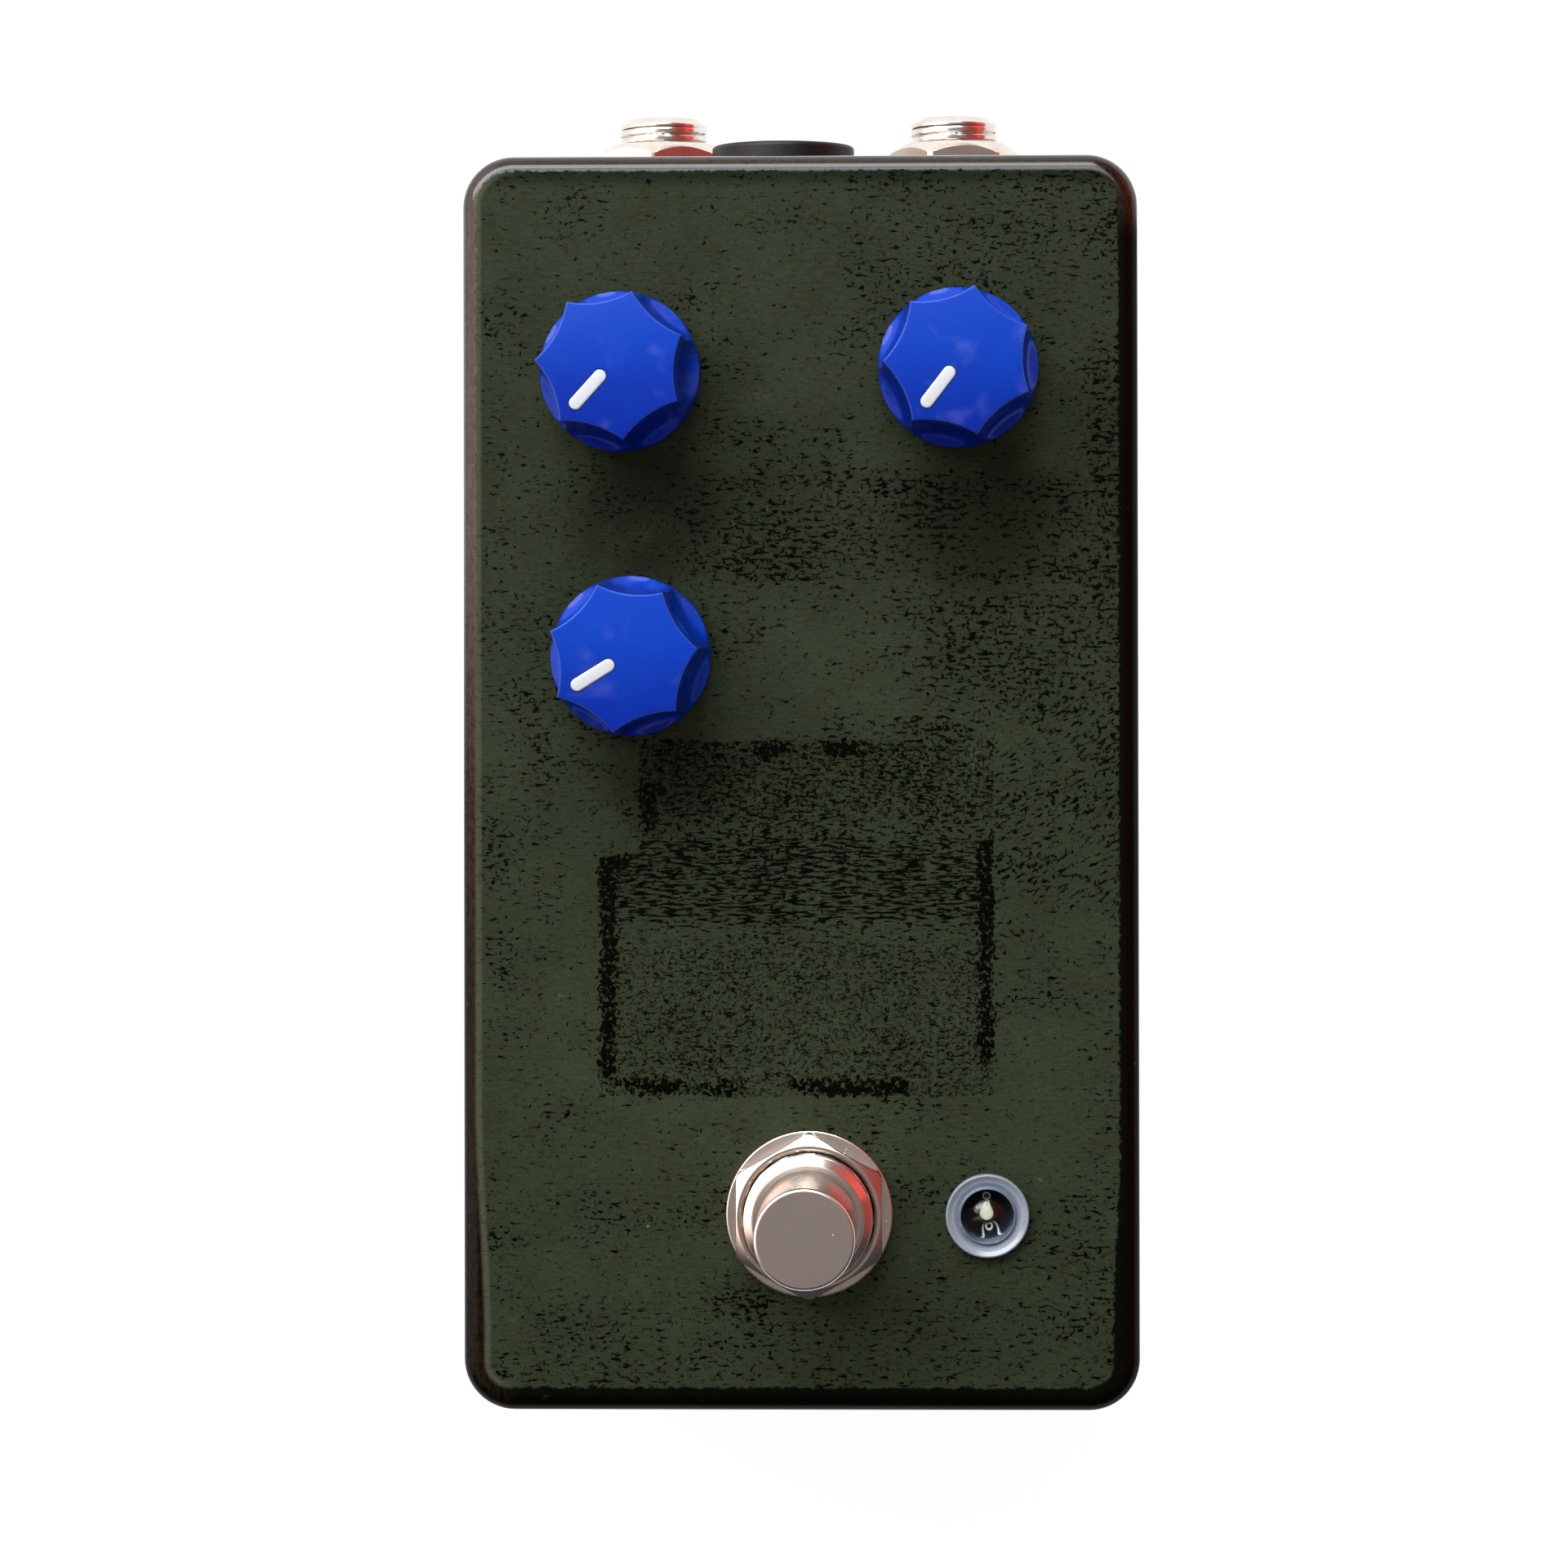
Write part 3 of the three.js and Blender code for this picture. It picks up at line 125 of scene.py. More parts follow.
def softened(points, closed=False, steps=5):
    """A profile of (radius, height, rounding) points, each corner rounded and held by near points."""
    result = []
    count = len(points)
    for index, point in enumerate(points):
        radius = point[2] if len(point) > 2 else 0
        here = Vector(point[:2])
        if radius == 0 or (not closed and index in (0, count - 1)):
            result.append((here.x, here.y))
            continue
        before = Vector(points[index - 1][:2]) - here
        after = Vector(points[(index + 1) % count][:2]) - here
        room = min(before.length, after.length)
        before.normalize()
        after.normalize()
        half = math.acos(max(-1, min(1, before.dot(after)))) / 2
        reach = radius / math.tan(half)
        if reach > room * 0.95:
            reach = room * 0.95
            radius = reach * math.tan(half)
        centre = here + (before + after).normalized() * (radius / math.sin(half))
        first = here + before * reach - centre
        last = here + after * reach - centre
        hold = min(0.03, room * 0.04)
        outer = here + before * (reach + hold)
        result.append((outer.x, outer.y))
        turn = first.angle_signed(last)
        for step in range(steps + 1):
            part = first.copy()
            part.rotate(Matrix.Rotation(-turn * step / steps, 2))
            spot = centre + part
            result.append((spot.x, spot.y))
        outer = here + after * (reach + hold)
        result.append((outer.x, outer.y))
    return result


def turned(profile, closed=False, count=96, steps=5):
    """A turned solid from a profile of (radius, height, rounding) points."""
    places = softened(profile, closed, steps)
    rings = [[(0.0, 0.0, place[1])] if place[0] < 1e-6 else ring
             for place, ring in zip(places, stack(count, *places))]
    return skin(rings, wrap=closed)


def add_object(name, data):
    obj = bpy.data.objects.new(name, data)
    bpy.context.scene.collection.objects.link(obj)
    return obj


def make(name, parts, sharp=30):
    """An object from (vertices, faces) parts in millimetres, smooth but for its sharp edges."""
    vertices, faces = [], []
    for part_vertices, part_faces in parts:
        base = len(vertices)
        vertices.extend(Vector(v) * MM for v in part_vertices)
        faces.extend([base + i for i in face] for face in part_faces)
    mesh = bpy.data.meshes.new(name)
    mesh.from_pydata(vertices, [], faces)
    mesh.update()
    obj = add_object(name, mesh)
    finish_normals(obj, sharp)
    return obj


def finish_normals(obj, sharp):
    work = bmesh.new()
    work.from_mesh(obj.data)
    bmesh.ops.remove_doubles(work, verts=work.verts, dist=1e-7)
    bmesh.ops.dissolve_degenerate(work, edges=work.edges, dist=1e-8)
    bmesh.ops.recalc_face_normals(work, faces=work.faces)
    work.to_mesh(obj.data)
    work.free()
    obj.data.shade_smooth()
    obj.data.set_sharp_from_angle(angle=math.radians(sharp))


def moved(part, matrix):
    vertices, faces = part
    return [matrix @ Vector(v) for v in vertices], faces


def shift(x, y, z):
    return Matrix.Translation((x, y, z))


def boolean(obj, tools, operation="DIFFERENCE", sharp=30):
    """Joins tools to an object or cuts them away from it, and keeps only the result."""
    for tool in tools:
        change = obj.modifiers.new("change", "BOOLEAN")
        change.operation = operation
        change.solver = "EXACT"
        change.object = tool
    bpy.context.view_layer.update()
    graph = bpy.context.evaluated_depsgraph_get()
    result = bpy.data.meshes.new_from_object(obj.evaluated_get(graph))
    obj.modifiers.clear()
    old = obj.data
    obj.data = result
    bpy.data.meshes.remove(old)
    for tool in tools:
        bpy.data.meshes.remove(tool.data)
    finish_normals(obj, sharp)


def block(x0, x1, y0, y1, z0, z1):
    corners = [(x0, y0), (x1, y0), (x1, y1), (x0, y1)]
    return skin([[(x, y, z0) for x, y in corners], [(x, y, z1) for x, y in corners]])


def on_wall(x, depth):
    """The frame on the back wall: +Z points out of the wall and +Y down it."""
    place = shift(x, BOX_Y + HALF_LENGTH + depth * SLOPE, PANEL_Z - depth)
    return place @ Matrix.Rotation(math.radians(2 - 90), 4, "X")


def dress(obj, material, body="housing", replaced=None):
    """Gives a piece its material, its body, and the CAD node that it stands for."""
    obj.data.materials.clear()
    obj.data.materials.append(material)
    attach(obj, body)
    if replaced:
        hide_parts(replaced)


def add_fine(node, parts, place, material, sharp=30, body="housing"):
    """A detailed piece that stands for a CAD node."""
    obj = make(f"{node}_fine", [moved(part, place) for part in parts], sharp)
    dress(obj, material, body, node)


# ---- materials
def srgb(red, green, blue):
    """A colour given as 0 to 255 in sRGB."""
    def linear(value):
        value /= 255
        return value / 12.92 if value <= 0.04045 else ((value + 0.055) / 1.055) ** 2.4
    return (linear(red), linear(green), linear(blue), 1.0)


class Value:
    """A number in a material's node tree, which can be added, multiplied and so on."""

    def __init__(self, graph, socket):
        self.graph, self.socket = graph, socket

    def __add__(self, other):
        return self.graph.math("ADD", self, other)

    def __sub__(self, other):
        return self.graph.math("SUBTRACT", self, other)

    def __rsub__(self, other):
        return self.graph.math("SUBTRACT", other, self)

    def __neg__(self):
        return self.graph.math("MULTIPLY", self, -1)

    def __mul__(self, other):
        return self.graph.math("MULTIPLY", self, other)

    def size(self):
        return self.graph.math("ABSOLUTE", self)


class Tree:
    """Short ways to add nodes to the node tree of a material or world."""

    def __init__(self, owner):
        owner.use_nodes = True
        self.tree = owner.node_tree
        self.link = self.tree.links.new

    def node(self, kind, **settings):
        made = self.tree.nodes.new("ShaderNode" + kind)
        for key, value in settings.items():
            setattr(made, key, value)
        return made

    def split(self, socket):
        made = self.node("SeparateXYZ")
        self.link(socket, made.inputs[0])
        return [Value(self, output) for output in made.outputs]

    def plug(self, socket, value):
        if isinstance(value, Value):
            self.link(value.socket, socket)
        else:
            socket.default_value = value

    def math(self, operation, *values, clamp=False):
        made = self.node("Math", operation=operation, use_clamp=clamp)
        for socket, value in zip(made.inputs, values):
            self.plug(socket, value)
        return Value(self, made.outputs[0])

    def least(self, a, b):
        return self.math("MINIMUM", a, b)

    def most(self, a, b):
        return self.math("MAXIMUM", a, b)

    def step(self, value, low, high):
        """0 at low, 1 at high, and smooth between. high may be less than low."""
        made = self.node("MapRange", interpolation_type="SMOOTHSTEP")
        for name, number in (("Value", value), ("From Min", low), ("From Max", high)):
            self.plug(made.inputs[name], number)
        return Value(self, made.outputs["Result"])

    def tint(self, factor, a, b):
        """A colour between two others."""
        made = self.node("Mix", data_type="RGBA")
        for index, value in ((0, factor), (6, a), (7, b)):
            self.plug(made.inputs[index], value)
        return Value(self, made.outputs[2])

    def rays(self, *kinds):
        """1 for a ray of any of these kinds, and 0 for any other."""
        path, total = self.node("LightPath"), 0.0
        for kind in kinds:
            total = self.math("ADD", total, Value(self, path.outputs[f"Is {kind} Ray"]), clamp=True)
        return total


class Graph(Tree):
    """A procedural material on one Principled shader. x, y and z are the place in millimetres."""

    def __init__(self, name):
        self.material = bpy.data.materials.new(name)
        super().__init__(self.material)
        self.shader = self.tree.nodes["Principled BSDF"]
        place = self.node("VectorMath", operation="SCALE")
        self.link(self.node("TexCoord").outputs["Object"], place.inputs[0])
        place.inputs["Scale"].default_value = 1 / MM
        self.here = self.x, self.y, self.z = self.split(place.outputs[0])
        self.nx, self.ny, self.nz = self.split(self.node("NewGeometry").outputs["True Normal"])

    def texture(self, kind, place, **inputs):
        made, point = self.node("Tex" + kind), self.node("CombineXYZ")
        for socket, value in zip(point.inputs, place):
            self.plug(socket, value)
        self.link(point.outputs[0], made.inputs["Vector"])
        for name, value in inputs.items():
            made.inputs[name].default_value = value
        return made.outputs

    def noise(self, place, scale=1.0, detail=2.0, rough=0.5, bend=0.0):
        made = self.texture("Noise", place, Scale=scale, Detail=detail, Roughness=rough, Distortion=bend)
        return Value(self, made["Fac"])

    def specks(self, place, scale, outer, inner, low, high):
        """Round specks at some scattered points. outer and inner are radii in millimetres."""
        made = self.texture("Voronoi", place, Scale=scale)
        near = self.step(Value(self, made["Distance"]) * (1 / scale), outer, inner)
        return near * self.step(self.split(made["Color"])[0], low, high)

    def mix(self, factor, a, b):
        made = self.node("Mix", data_type="FLOAT")
        for index, value in ((0, factor), (2, a), (3, b)):
            self.plug(made.inputs[index], value)
        return Value(self, made.outputs[0])

    def bump(self, height):
        """Relief from a height in millimetres."""
        made = self.node("Bump")
        made.inputs["Strength"].default_value = 1.0
        made.inputs["Distance"].default_value = MM
        self.plug(made.inputs["Height"], height)
        self.link(made.outputs[0], self.shader.inputs["Normal"])

    def set(self, **inputs):
        names = {
            "base": "Base Color", "metal": "Metallic", "rough": "Roughness",
            "specular": "Specular IOR Level", "coat": "Coat Weight", "coat_rough": "Coat Roughness",
            "through": "Transmission Weight", "ior": "IOR", "glow": "Emission Color",
            "glow_strength": "Emission Strength",
        }
        for key, value in inputs.items():
            self.plug(self.shader.inputs[names[key]], value)
        return self.material


def paint_material():
    """Black gloss with a dark olive coat rubbed over its flats, worn in short dashes."""
    g = Graph("hand_rubbed_paint")
    x, y, depth = g.x, g.y - BOX_Y, PANEL_Z - g.z
    face_up = g.step(g.nz.size(), 0.72, 0.9)
    side_wall = g.step(g.nx.size(), 0.5, 0.8)
    along = g.mix(side_wall, x, y)
    u = g.mix(face_up, along, x)
    v = g.mix(face_up, depth, y)
    w = face_up * 40 + side_wall * 20

    # how far inside the olive coat's edge: on the panel, and on the walls
    corner_x = (x + 0.2).size() - (HALF_WIDTH - CORNER)
    corner_y = y.size() - (HALF_LENGTH - CORNER)
    out_x, out_y = g.most(corner_x, 0), g.most(corner_y, 0)
    out = g.math("SQRT", out_x * out_x + out_y * out_y)
    far_side = g.most(g.step(x, 10.0, 28.0) * 0.15, g.step(y, -30.0, -52.0) * 0.79)
    panel_edge = (CORNER - 1.5) - far_side - out - g.least(g.most(corner_x, corner_y), 0)
    upright = g.most(-corner_x, -corner_y) + depth * SLOPE + 0.5
    wall_edge = g.least(g.least(depth - 1.6, 37.0 - depth), upright)
    edge = g.mix(face_up, wall_edge, panel_edge)
    ragged = (g.noise((u, v, w), 1.3, 3, 0.6) - 0.5) * 1.0
    rubbed = g.step(edge + ragged, -0.1, 0.1)

    # where the dashes crowd together
    def zone(value, low, high, soft):
        return g.step(value, low - soft, low + soft) * g.step(value, high + soft, high - soft)

    def spot(middle_x, middle_y, inner, outer):
        off_x, off_y = x - middle_x, y - middle_y
        return g.step(off_x * off_x + off_y * off_y, outer ** 2, inner ** 2)

    cloud = g.noise((u * 0.6, v, w), 0.16, 3, 0.6)
    thick, thin = g.step(cloud, 0.44, 0.66), g.step(cloud, 0.3, 0.5)
    parts = (
        (0.72, g.step(x, -1.0, 6.0) * g.step(y, 38.0, 45.0)),
        (0.5, g.step(y, 52.0, 55.0)),
        (0.95, g.step(y, 52.5, 55.0) * g.step(x, -1.0, 10.0)),
        (1.05, g.step(x, 23.0, 28.5) * g.step(y, -16.0, -10.0)),
        (0.55, g.step(x, 22.0, 28.0)),
        (0.98, zone(y, 18.2, 29.4, 1.4) * g.step(x, -17.0, -9.0)),
        (0.6, zone(y, 14.0, 27.0, 4.0)),
        (0.9, zone(y, -13.0, 19.0, 3.0) * g.step(x, 4.0, 13.0)),
        (0.85, spot(-27.0, -16.0, 2.5, 6.5)),
        (0.76, g.step(x, -19.0, -24.0) * zone(y, -22.0, 19.0, 4.0)),
        (0.72, g.step(y, -44.0, -50.0)),
        (1.25, zone(y, 3.0, 7.0, 1.6) * zone(x, 2.0, 18.0, 3.0)),
        (1.1, spot(-6.0, -50.0, 2.0, 6.0)),
        (0.75, g.step(x, -23.0, -28.0) * g.step(y, -43.0, -48.0)),
    )
    crowd = thick * 0.5 + thin * 0.1 + 0.15
    for weight, part in parts:
        crowd = g.most(crowd, part * (thick * 0.3 + thin * 0.4 + 0.38) * weight)
    crowd = g.mix(face_up, thick * 0.5, crowd)

    # a worn patch in the middle of the panel, a rectangle with one corner out of it
    label_x = x + 0.35 + (g.noise((y, 0, 3), 0.3, 2) - 0.5) * 1.0
    label_y = y + 12.7 + (g.noise((x, 9, 3), 0.3, 2) - 0.5) * 1.0
    label_edge = g.most(label_x.size() - 18.6, label_y.size() - 16.8)
    label_edge = g.most(label_edge, g.least(-14.8 - label_x, label_y - 6.0))
    label = g.step(label_edge, 0.2, -0.2) * face_up
    rows = label * g.step((label_y - 3.5).size(), 7.0, 3.0)
    thinned = g.step(g.noise((x, y, 7), 0.11, 3), 0.4, 0.62)
    lower = g.step(label_y, 1.0, -6.0)
    crowd = g.most(crowd, label * (1.0 - lower * 0.44 - thinned * 0.34))

    # the patch's broken outline
    gate = g.step(g.noise((x, y, 12), 0.09, 1.5), 0.45, 0.52)
    border = g.step((label_edge + 0.9).size(), 1.5, 0.2) * gate * face_up

    # dashes, flecks and worms rubbed through the coat
    slant = spot(26.0, -2.0, 7.0, 14.0) * face_up
    sway = (g.noise((u, v, w), 0.6, 2) - 0.5) * 1.2
    dash = g.noise((u * 0.95, v * 2.7 + sway, w), 1.0, 2.5, 0.55)
    dash = g.mix(slant, dash, g.noise((u * 0.9 + v * 0.3, v * 2.5 - u * 1.1, w), 1.0, 2.5, 0.55))
    dash = g.mix(label, dash, g.noise((u * 1.1, v * 3.5 + sway, w), 1.0, 2, 0.5))
    fleck = g.noise((u * 2.3, v * 2.1, w + 5), 1.0, 2, 0.5, 0.5)
    worm = g.noise((u * 1.7, v * 2.3, w + 9), 1.0, 1, 0.5, 0.8)
    limit = 0.715 - crowd * 0.15
    broken = g.noise((u * 1.3, v * 1.3, w + 2), 1.5, 1.5, 0.5)
    worm_gate = g.step(broken, 0.53, 0.49) * g.most(label * (1 - rows * 0.75), crowd * 0.6)
    strokes = g.noise((u * 0.7, v * 3.9 + sway, 4), 1.0, 1.5, 0.5)
    over = g.most(dash - limit, fleck - (limit + 0.03))
    over = g.most(over, (0.042 - (worm - 0.5).size()) - (1 - worm_gate) * 0.2)
    over = g.most(over, strokes - 0.535 - (1 - rows) * 0.4)
    over = g.most(over, fleck + border * 0.28 - 0.7)
    marks = g.step(over, -0.04, 0.036)
    halo = g.step(over, -0.13, -0.02)
    coat = rubbed * (1 - marks)

    # tone of the coat: greener low down, darker where the marks crowd, with a brown painted shadow under each
    # knob
    blotch = g.noise((u, v, w), 0.12, 3, 0.5)
    grain = g.noise((u * 0.8, v * 4.0, w), 1.0, 3, 0.65)
    warm = g.step(g.noise((u, v, w + 50), 0.3, 3, 0.6), 0.42, 0.66)
    pore = g.noise((u * 2.6, v * 5.0, w + 60), 1.0, 2, 0.6)
    # painted shadow: brown dark spots on the panel just below each knob
    painted_knob_shadow = g.most(spot(17.0, 24.5, 3.0, 9.5), spot(-14.0, 25.0, 2.0, 9.0))
    painted_knob_shadow = g.most(painted_knob_shadow, spot(-13.0, 1.0, 2.0, 7.0) * 0.8) * g.step(blotch, 0.25, 0.5)
    green = srgb(54, 60, 42)
    for share, colour in (
        (g.step(blotch, 0.35, 0.65), (61, 67, 49)),
        (g.step(y, 22.0, -4.0) * face_up * 0.3, (66, 76, 54)),
        (g.step(y, -30.0, -50.0) * face_up * 0.5, (54, 64, 43)),
        (warm * 0.3, (54, 50, 32)),
        (g.step(grain, 0.4, 0.72) * 0.45, (76, 82, 62)),
        (g.step(pore, 0.5, 0.68) * 0.38, (30, 34, 22)),
        (painted_knob_shadow * face_up * 0.8, (38, 32, 24)),
        (crowd * 0.3, (44, 48, 36)),
        (g.step(y, 55.6, 57.2) * face_up * 0.75, (26, 31, 27)),
        (halo * 0.2, (38, 41, 28)),
    ):
        green = g.tint(share, green, srgb(*colour))
    base = g.tint(coat, srgb(4, 5, 1), green)
    # pale specks in the coat, made brighter so that they also serve as painted glints
    base = g.tint(g.specks((u, v, w), 0.14, 0.15, 0.07, 0.5, 0.55) * 0.75, base, srgb(140, 142, 124))
    hair = g.step((g.noise((u * 0.35, v * 0.35, w + 30), 1.0, 1) - 0.5).size(), 0.0035, 0.0015)
    hair = hair * g.step(g.noise((u, v, w + 33), 0.35, 2), 0.64, 0.7)
    base = g.tint(hair * 0.5, base, srgb(104, 104, 86))

    # the bare rounded edge: streaks of olive on its near sides, which also shine the most. Their red-brown is
    # partly painted reflection of a warm room in the left edge.
    bare = 1 - rubbed
    near_side = g.most(g.step(x, -26.0, -29.5), g.step(y, 51.0, 56.0))
    streak_and_reflection = g.step(g.noise((u * 2.4, v * 1.2, w + 44), 1.0, 3, 0.65), 0.36, 0.6) * near_side * bare
    streak_and_reflection = streak_and_reflection * g.step(g.nz, 0.1, 0.5) * (1 - g.step(y, 51.0, 56.0) * 0.5)
    streak_and_reflection = streak_and_reflection * (g.step(y, -25.0, 12.0) * 0.7 + 0.3)
    # partly painted reflection: the red-brown stands for the warm room seen in the left edge, strongest
    # towards the back
    base = g.tint(streak_and_reflection * 0.6, base, srgb(84, 60, 42))
    # painted highlight: a lighter strip along the coat's edge on the left side only, the side towards the
    # window
    painted_edge_highlight = g.step((edge - 0.2).size(), 0.5, 0.1) * g.step(x, -26.0, -29.5) * face_up
    base = g.tint(painted_edge_highlight * 0.5, base, srgb(104, 102, 84))
    shine = g.mix(near_side, g.step(g.nz, 0.5, 0.85) * 0.2, g.step(y, -5.0, 30.0) * 0.83 + 0.12)
    g.bump(coat * 0.035 + grain * 0.004 + streak_and_reflection * 0.005)
    return g.set(base=base, rough=g.mix(bare, grain * 0.1 + 0.46, 0.3), specular=0.02,
                 coat=bare * shine, coat_rough=0.12)


def cover_material():
    """The same box paint on the cover: black, satin, with a fine orange-peel."""
    g = Graph("cover_paint")
    peel = g.noise(g.here, 1.1, 3, 0.5)
    scuff = g.noise((g.x * 0.4, g.y * 3.0, g.z), 1.0, 3, 0.6)
    base = g.tint(g.step(scuff, 0.66, 0.76) * 0.35, srgb(14, 13, 12), srgb(52, 56, 42))
    g.bump(peel * 0.02)
    return g.set(base=base, rough=g.mix(peel, 0.24, 0.4), specular=0.4)


def knob_material():
    """Deep blue gloss with faint pale smears. It is lighter towards the back as a painted sheen, with painted
    shade on the flute walls and a painted highlight round the top rim.
    """
    g = Graph("blue_gloss_plastic")
    y = g.y - BOX_Y
    across = y - g.mix(g.step(y, 22.0, 22.4), 9.3, 36.0)
    cloud = g.noise(g.here, 0.25, 2)
    smear = g.step(g.noise((g.x, g.y, g.z * 0.4), 0.3, 2, 0.5), 0.55, 0.8)
    dust = g.specks(g.here, 0.8, 0.07, 0.03, 0.8, 0.85)
    # painted light: the blue is lighter towards the back of each knob, the side towards the window
    base = g.tint(g.step(across + (cloud - 0.5) * 6, -7.0, 7.5), srgb(1, 37, 162), srgb(11, 72, 204))
    # painted shade: the steep walls of the flutes are darker
    base = g.tint(g.step(g.nz, 0.75, 0.4) * 0.5, base, srgb(0, 16, 88))
    # painted highlight: a pale blue line round the top edge of each knob
    painted_rim_highlight = g.step(g.nz, 0.99, 0.9) * g.step(g.nz, 0.35, 0.6)
    painted_rim_highlight = painted_rim_highlight * g.step(g.z, PANEL_Z + 11.0, PANEL_Z + 11.6)
    base = g.tint(painted_rim_highlight * 0.2, base, srgb(84, 130, 235))
    base = g.tint(smear * 0.22 + dust * 0.4, base, srgb(120, 128, 235))
    g.bump(g.noise(g.here, 6.0, 3, 0.6) * 0.003)
    return g.set(base=base, rough=g.mix(smear, 0.22, 0.34), specular=0.22)


def nickel_material(name="nickel_plate", bright=1.0, rough=0.13):
    g = Graph(name)
    smudge = g.noise(g.here, 0.45, 3, 0.55)
    pit = g.specks(g.here, 0.85, 0.13, 0.05, 0.62, 0.68)
    shade = tuple(c * bright for c in srgb(224, 216, 208)[:3]) + (1.0,)
    base = g.tint(g.step(smudge, 0.4, 0.75) * 0.35, shade, srgb(196, 180, 166))
    base = g.tint(pit * 0.6, base, srgb(245, 240, 235))
    g.bump(g.noise(g.here, 7.0, 3, 0.6) * 0.0012 + pit * 0.01)
    return g.set(base=base, rough=g.mix(smudge, rough, rough + 0.1) + pit * 0.2, metal=1.0)


def steel_material():
    g = Graph("zinc_steel")
    cloud = g.noise(g.here, 0.6, 4, 0.6)
    g.bump(g.noise((g.x * 0.6, g.y * 9.0, g.z * 9.0), 1.0, 2) * 0.004)
    return g.set(base=g.tint(cloud, srgb(150, 152, 150), srgb(190, 192, 190)),
                 rough=g.mix(cloud, 0.3, 0.46), metal=1.0)


def rubber_material():
    g = Graph("foot_rubber_black")
    fine = g.noise(g.here, 3.5, 4, 0.7)
    dust = g.step(g.noise(g.here, 0.7, 3), 0.5, 0.8)
    g.bump(fine * 0.03)
    return g.set(base=g.tint(dust * 0.4, srgb(22, 22, 22), srgb(58, 57, 54)),
                 rough=g.mix(fine, 0.75, 0.95), specular=0.25)


def moulded_material(name, dark, light, rough=0.42):
    g = Graph(name)
    fine = g.noise(g.here, 4.0, 4, 0.65)
    g.bump(fine * 0.008)
    return g.set(base=g.tint(g.noise(g.here, 0.35, 2), dark, light),
                 rough=g.mix(fine, rough - 0.06, rough + 0.1), specular=0.3)


def switch_case_material():
    """Blue moulded case down to its foot, bright tinned lugs below it."""
    g = Graph("switch_case_and_lugs")
    foot = PANEL_Z - 7.1 - 12.5
    lug = g.step(g.z, foot + 0.05, foot - 0.05)
    fine = g.noise(g.here, 3.0, 3, 0.6)
    base = g.tint(lug, g.tint(fine, srgb(28, 66, 158), srgb(36, 80, 180)), srgb(206, 204, 200))
    g.bump(fine * 0.01)
    return g.set(base=base, rough=g.mix(lug, 0.5, 0.25), metal=lug)


def phenolic_material(name, pins):
    """Brown paper laminate, with tinned pins under the wafer."""
    g = Graph(name)
    fibre = g.noise((g.x * 0.5, g.y * 3.0, g.z * 3.0), 1.0, 4, 0.7)
    base = g.tint(fibre, srgb(104, 60, 32), srgb(150, 98, 58))
    metal = 0.0
    if pins:
        metal = g.step(g.z, PANEL_Z - 4.75, PANEL_Z - 4.85)
        base = g.tint(metal, base, srgb(208, 206, 200))
    g.bump(fibre * 0.01)
    return g.set(base=base, rough=g.mix(fibre, 0.5, 0.65), metal=metal)


def board_material(name, top_z):
    """Solder mask with tracks and pads on the laminate, and dark and tan parts under it."""
    g = Graph(name)
    under = g.step(g.z, top_z - 1.65, top_z - 1.75)
    track = g.noise((g.x * 0.35, g.y * 1.6, 0), 1.0, 0)
    line = g.step((track - 0.5).size(), 0.05, 0.03)
    pad = g.specks((g.x, g.y, 0), 0.45, 0.62, 0.5, 0.5, 0.55)
    mask = g.tint(line, srgb(16, 66, 36), srgb(34, 96, 54))
    mask = g.tint(pad, mask, srgb(204, 196, 176))
    kind = g.noise((g.x * 0.12, g.y * 0.12, 2), 1.0, 0)
    parts = g.tint(g.step(kind, 0.5, 0.52), srgb(24, 24, 26), srgb(176, 138, 84))
    g.bump(line * 0.03 + pad * 0.04)
    return g.set(base=g.tint(under, mask, parts), rough=g.mix(pad, 0.36, 0.25), metal=pad * (1 - under))


def plain_material(name, noise, dark, light, relief, rough, ribs=0.0, **more):
    """One noise gives the tone and the relief. A ribbon has ribs at a distance across X."""
    g = Graph(name)
    fine = g.noise(g.here, *noise)
    height = fine * relief
    if ribs:
        height = height + g.math("SINE", g.x * (2 * math.pi / ribs)) * 0.12
    g.bump(height)
    if isinstance(rough, tuple):
        rough = g.mix(fine, *rough)
    return g.set(base=g.tint(fine, srgb(*dark), srgb(*light)), rough=rough, **more)


def wire_material(name, dark, light, ribs=0.0):
    return plain_material(name, (2.0, 3), dark, light, 0.01, (0.42, 0.58), ribs)


def frosted_material():
    """The lamp's ring: milky plastic, darker and bluer in its dish."""
    g = Graph("frosted_ring")
    cloud = g.noise(g.here, 0.9, 3, 0.55)
    off_x, off_y = g.x - LAMP.x, g.y - LAMP.y
    outer = g.step(off_x * off_x + off_y * off_y, 2.9 ** 2, 3.3 ** 2)
    base = g.tint(outer, srgb(106, 118, 138), srgb(157, 165, 178))
    base = g.tint(cloud * 0.25, base, srgb(190, 196, 206))
    g.bump(g.noise(g.here, 6.0, 3) * 0.002 + cloud * 0.02)
    return g.set(base=base, rough=g.mix(cloud, 0.2, 0.32), specular=0.8)


def clear_material():
    """Water-clear resin. Lamp light is let through to what is cast inside it."""
    g = Graph("water_clear_resin")
    faint = g.noise(g.here, 1.2, 2)
    g.bump(faint * 0.004)
    g.set(base=g.tint(faint, srgb(236, 238, 240), srgb(250, 250, 250)), rough=0.02, through=1.0, ior=1.5,
          specular=0.35)
    both = g.node("MixShader")
    g.plug(both.inputs[0], g.rays("Shadow"))
    g.link(g.shader.outputs[0], both.inputs[1])
    g.link(g.node("BsdfTransparent").outputs[0], both.inputs[2])
    g.link(both.outputs[0], g.tree.nodes["Material Output"].inputs["Surface"])
    return g.material


